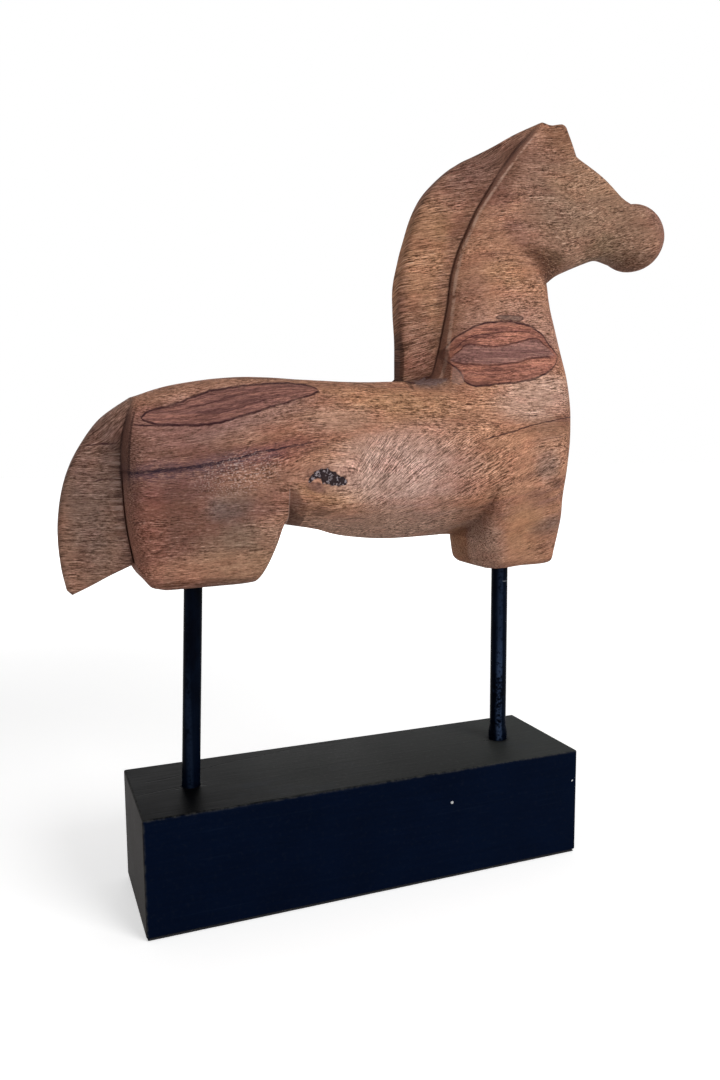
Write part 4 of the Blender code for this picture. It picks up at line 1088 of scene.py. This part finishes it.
def blockFinish():
    finish, bench, (x, y, z) = newFinish("blackPaintedWood", block, 0.42, specular=0.01)
    ease, spot = bench.ease, bench.spot
    nx, _, nz = split(bench, bench.add("NewGeometry", None, (), "True Normal"))
    facingUp = ease(nz, 0.4, 0.9)
    facingEnd = ease(bench.size(nx), 0.5, 0.9)
    grain = bench.noise((x * 0.03, y * 0.7, z * 0.7), 1, 4, 0.6)
    sawn = bench.noise((x * 0.6, y * 0.3, z * 0.05), 1, 3, 0.6)
    cloud = bench.noise((x, y, z), 0.03, 3, 0.6)
    # Painted reflection on the top: near black at the left end, a lighter grey towards the right
    reflectedShare = ease(x + 30 * (cloud - 0.5), -84, -24)
    reflectedTop = bench.blend(ease(x, 15, 95), bench.blend(reflectedShare, "dim", "top"), "topRight")
    colour = bench.blend(facingUp, "front", reflectedTop)
    colour = bench.blend(facingEnd, colour, "end")
    colour = bench.times(colour, 0.45 + 0.45 * bench.blend(facingEnd, grain, sawn) + 0.65 * cloud)

    # Two drying cracks along the top, and chips by the rods
    crack = 0
    for drawn in block["cracks"]:
        wander = 1.4 * (bench.noise((x, y, z), 0.12, 3) - 0.5)
        crack = bench.most(bench.stroke(x, y + wander, drawn, 0.42) * facingUp, crack)
    flaking = ease(bench.noise((x, y, z), 0.9, 2), 0.42, 0.55) * facingUp
    chips, lip = (sum(spot(x, y, *place, 0.5) for place in block[which]) for which in ("chips", "sockets"))
    chips = chips * flaking
    colour = bench.blend(lip * facingUp * 0.7, colour, "shadow")
    colour = bench.blend(crack, colour, "bare")
    colour = bench.blend(chips * 0.8, colour, "bare")

    # Paint worn along the edges, dust and a few pale specks
    overFront = block["halfDepth"] - bench.size(y)
    overEnd = block["halfLength"] - bench.size(x)
    ends = bench.most(overFront, overEnd)
    tops = bench.most(bench.maths("MINIMUM", overFront, overEnd), block["height"] - z)
    rub = bench.fade(bench.maths("MINIMUM", ends, tops), 0.35, 1.2)
    rub = rub * ease(bench.noise((x, y, z), 0.3, 4, 0.75), 0.38, 0.66)
    colour = bench.blend(rub * 0.45, colour, "worn")
    speck = spot(x, z, (35.8, 36.7), (0.75, 0.7), 0, 0.3) + spot(x, z, (101.5, 37), (0.6, 0.35), 40, 0.3)
    colour = bench.blend(speck * ease(-1 * y, 29, 29.5) * 0.8, colour, "speck")
    dust = ease(bench.noise((x, y, z), 0.5, 4, 0.75), 0.5, 0.8)
    colour = bench.blend(dust * (0.03 + 0.09 * facingUp * reflectedShare + 0.12 * facingEnd), colour, "dust")
    scrape = ease(bench.noise((x * 0.02, y * 0.02, z * 1.4), 1, 3, 0.7), 0.62, 0.74)
    colour = bench.blend(scrape * 0.1, colour, "scrape")
    brush = bench.noise((x * 0.05, y * 0.5, z * 0.5), 1, 2)
    bench.coat(colour, 0.34 + 0.18 * cloud + 0.1 * grain, 0.6 * grain + 0.5 * brush - 1.5 * crack - 1 * chips,
               0.12 * mm)
    return finish


def dress(node, finish):
    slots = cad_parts[node].data.materials
    slots.clear()
    slots.append(finish)


dress("base_block", blockFinish())
print("block is painted")


# Black painted rods

rods = {
    "deep": (0.0004, 0.0009, 0.003),
    "sheen": (0.001, 0.0028, 0.0082),
    "scuffed": (0.026, 0.042, 0.082),
    "scratched": (0.16, 0.17, 0.19),
    "scratch": [(76.4, 133.4), (78, 133.2), (84, 133.9)],
    "kinds": {                                       # finish, roughness, lumps, share of the scuffs and the painted highlight, middle of the painted highlight
        "rear_rod": ("smoothBlackRod", 0.24, 0.04 * mm, 0.18, -79.4),
        "front_rod": ("roughBlackRod", 0.26, 0.2 * mm, 0.9, 75.7),
    },
}


def rodFinish(name, roughness, lumps, scuffAndHighlightShare, middle):
    finish, bench, (x, y, z) = newFinish(name, rods, roughness, specular=0.012)
    cloud = bench.noise((x * 0.1, y * 0.1, z * 0.06), 1, 3, 0.6)
    pits = bench.noise((x, y, z), 0.75, 3, 0.65)
    colour = bench.blend(bench.ease(cloud, 0.35, 0.65), "deep", "sheen")
    scuff = bench.ease(bench.noise((x * 0.4, y * 0.4, z * 0.22), 1, 4, 0.75), 0.58, 0.74)
    # Painted highlight: a bluish streak down the front of the rod, fainter towards the top
    highlightStreak = bench.close(x - middle, 0.5, 1.9) * bench.fade(y, -2.6, -1.2)
    highlightStreak = highlightStreak * bench.ease(pits * 0.6 + cloud * 0.4, 0.4, 0.56) * (1 - 0.6 * bench.ease(z, 88, 112))
    colour = bench.blend(bench.most(scuff * 0.25, highlightStreak) * scuffAndHighlightShare, colour, "scuffed")
    colour = bench.blend(bench.stroke(x, z, rods["scratch"], 0.3, (0.4, 1)) * 0.7, colour, "scratched")
    bench.coat(colour, roughness + 0.25 * (pits - 0.4), pits + 0.5 * cloud, lumps)
    return finish


for node, kind in rods["kinds"].items():
    dress(node, rodFinish(*kind))
print("rods are painted")


# Steel under the block and the felt

steel = {"dull": (0.46, 0.47, 0.48), "clear": (0.6, 0.6, 0.58)}


def steelFinish():
    finish, bench, (x, y, z) = newFinish("platedSteel", steel, 0.34, metallic=1)
    swirl = bench.noise((x, y, z), 0.35, 4, 0.7)
    colour = bench.blend(bench.ease(swirl, 0.35, 0.7), "dull", "clear")
    bench.coat(colour, 0.26 + 0.22 * swirl, bench.noise((x, y, z), 1.2, 2), 0.03 * mm)
    return finish


felt = {
    "colour": (0.012, 0.012, 0.014),
    "tuft": (0.03, 0.03, 0.033),
    "worn": (0.045, 0.044, 0.042),
    "lint": (0.12, 0.12, 0.115),
    "gap": 0.02 * mm,            # left free all round, inside the CAD felt's box
    "fuzz": 0.05 * mm,
    "round": 0.35 * mm,
    "pieces": (72, 24),
}


def feltFinish():
    finish, bench, (x, y, z) = newFinish("blackFelt", felt, 0.95, specular=0.1)
    tuft = bench.noise((x, y, z), 1.6, 4, 0.75)
    lint = bench.ease(bench.noise((x, y, z), 0.9, 2, 0.5, 1.5), 0.66, 0.72)
    worn = bench.noise((x * 0.06, y * 0.06, 0), 1, 3, 0.6)
    colour = bench.blend(tuft, "colour", "tuft")
    colour = bench.blend(bench.ease(worn, 0.5, 0.75) * 0.4, colour, "worn")
    colour = bench.blend(lint * 0.5, colour, "lint")
    bench.coat(colour, 0.85 + 0.12 * tuft, tuft, 0.25 * mm)
    return finish


def feltLines(low, high, count):                     # closer at the rounded edge
    return np.concatenate([[low, low + felt["round"]], np.linspace(low, high, count)[1:-1],
                           [high - felt["round"], high]])


def addFelt():
    low, high = (np.array(corner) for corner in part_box("felt_sheet"))
    low, high = low + felt["gap"], high - felt["gap"]
    xs, ys = (feltLines(low[axis], high[axis], felt["pieces"][axis]) for axis in (0, 1))
    wide, deep = len(xs), len(ys)
    verts, faces = [], []
    for level, sign in ((low[2], 1), (high[2], -1)):
        for j, y in enumerate(ys):
            for i, x in enumerate(xs):
                edge = i in (0, wide - 1) or j in (0, deep - 1)
                wave = felt["fuzz"] * (0.5 + 0.5 * math.sin(x * 410) * math.cos(y * 530 + x * 90))
                verts.append((x, y, level + sign * (felt["round"] if edge else wave)))
    half = wide * deep
    for j in range(deep - 1):
        for a in range(j * wide, j * wide + wide - 1):
            b, c, d = a + 1, a + wide + 1, a + wide
            faces += [(a, d, c, b), (half + a, half + b, half + c, half + d)]
    edge = [*range(wide), *range(2 * wide - 1, half, wide), *range(half - 2, half - wide - 1, -1),
            *range(half - 2 * wide, 0, -wide)]
    faces += [(a, b, half + b, half + a) for a, b in zip(edge, edge[1:] + edge[:1])]
    mesh = bpy.data.meshes.new("feltPad")
    mesh.from_pydata(verts, [], faces)
    mesh.shade_smooth()
    mesh.materials.append(feltFinish())
    pad = place("feltPad", mesh)
    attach(pad, "root")
    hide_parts("felt_sheet")
    high[0] - low[0]
    high[1] - low[1]


addFelt()
print("felt is under the block")

steelSkin = steelFinish()
for node in ("front_nut", "rear_nut", "front_washer", "rear_washer"):
    dress(node, steelSkin)
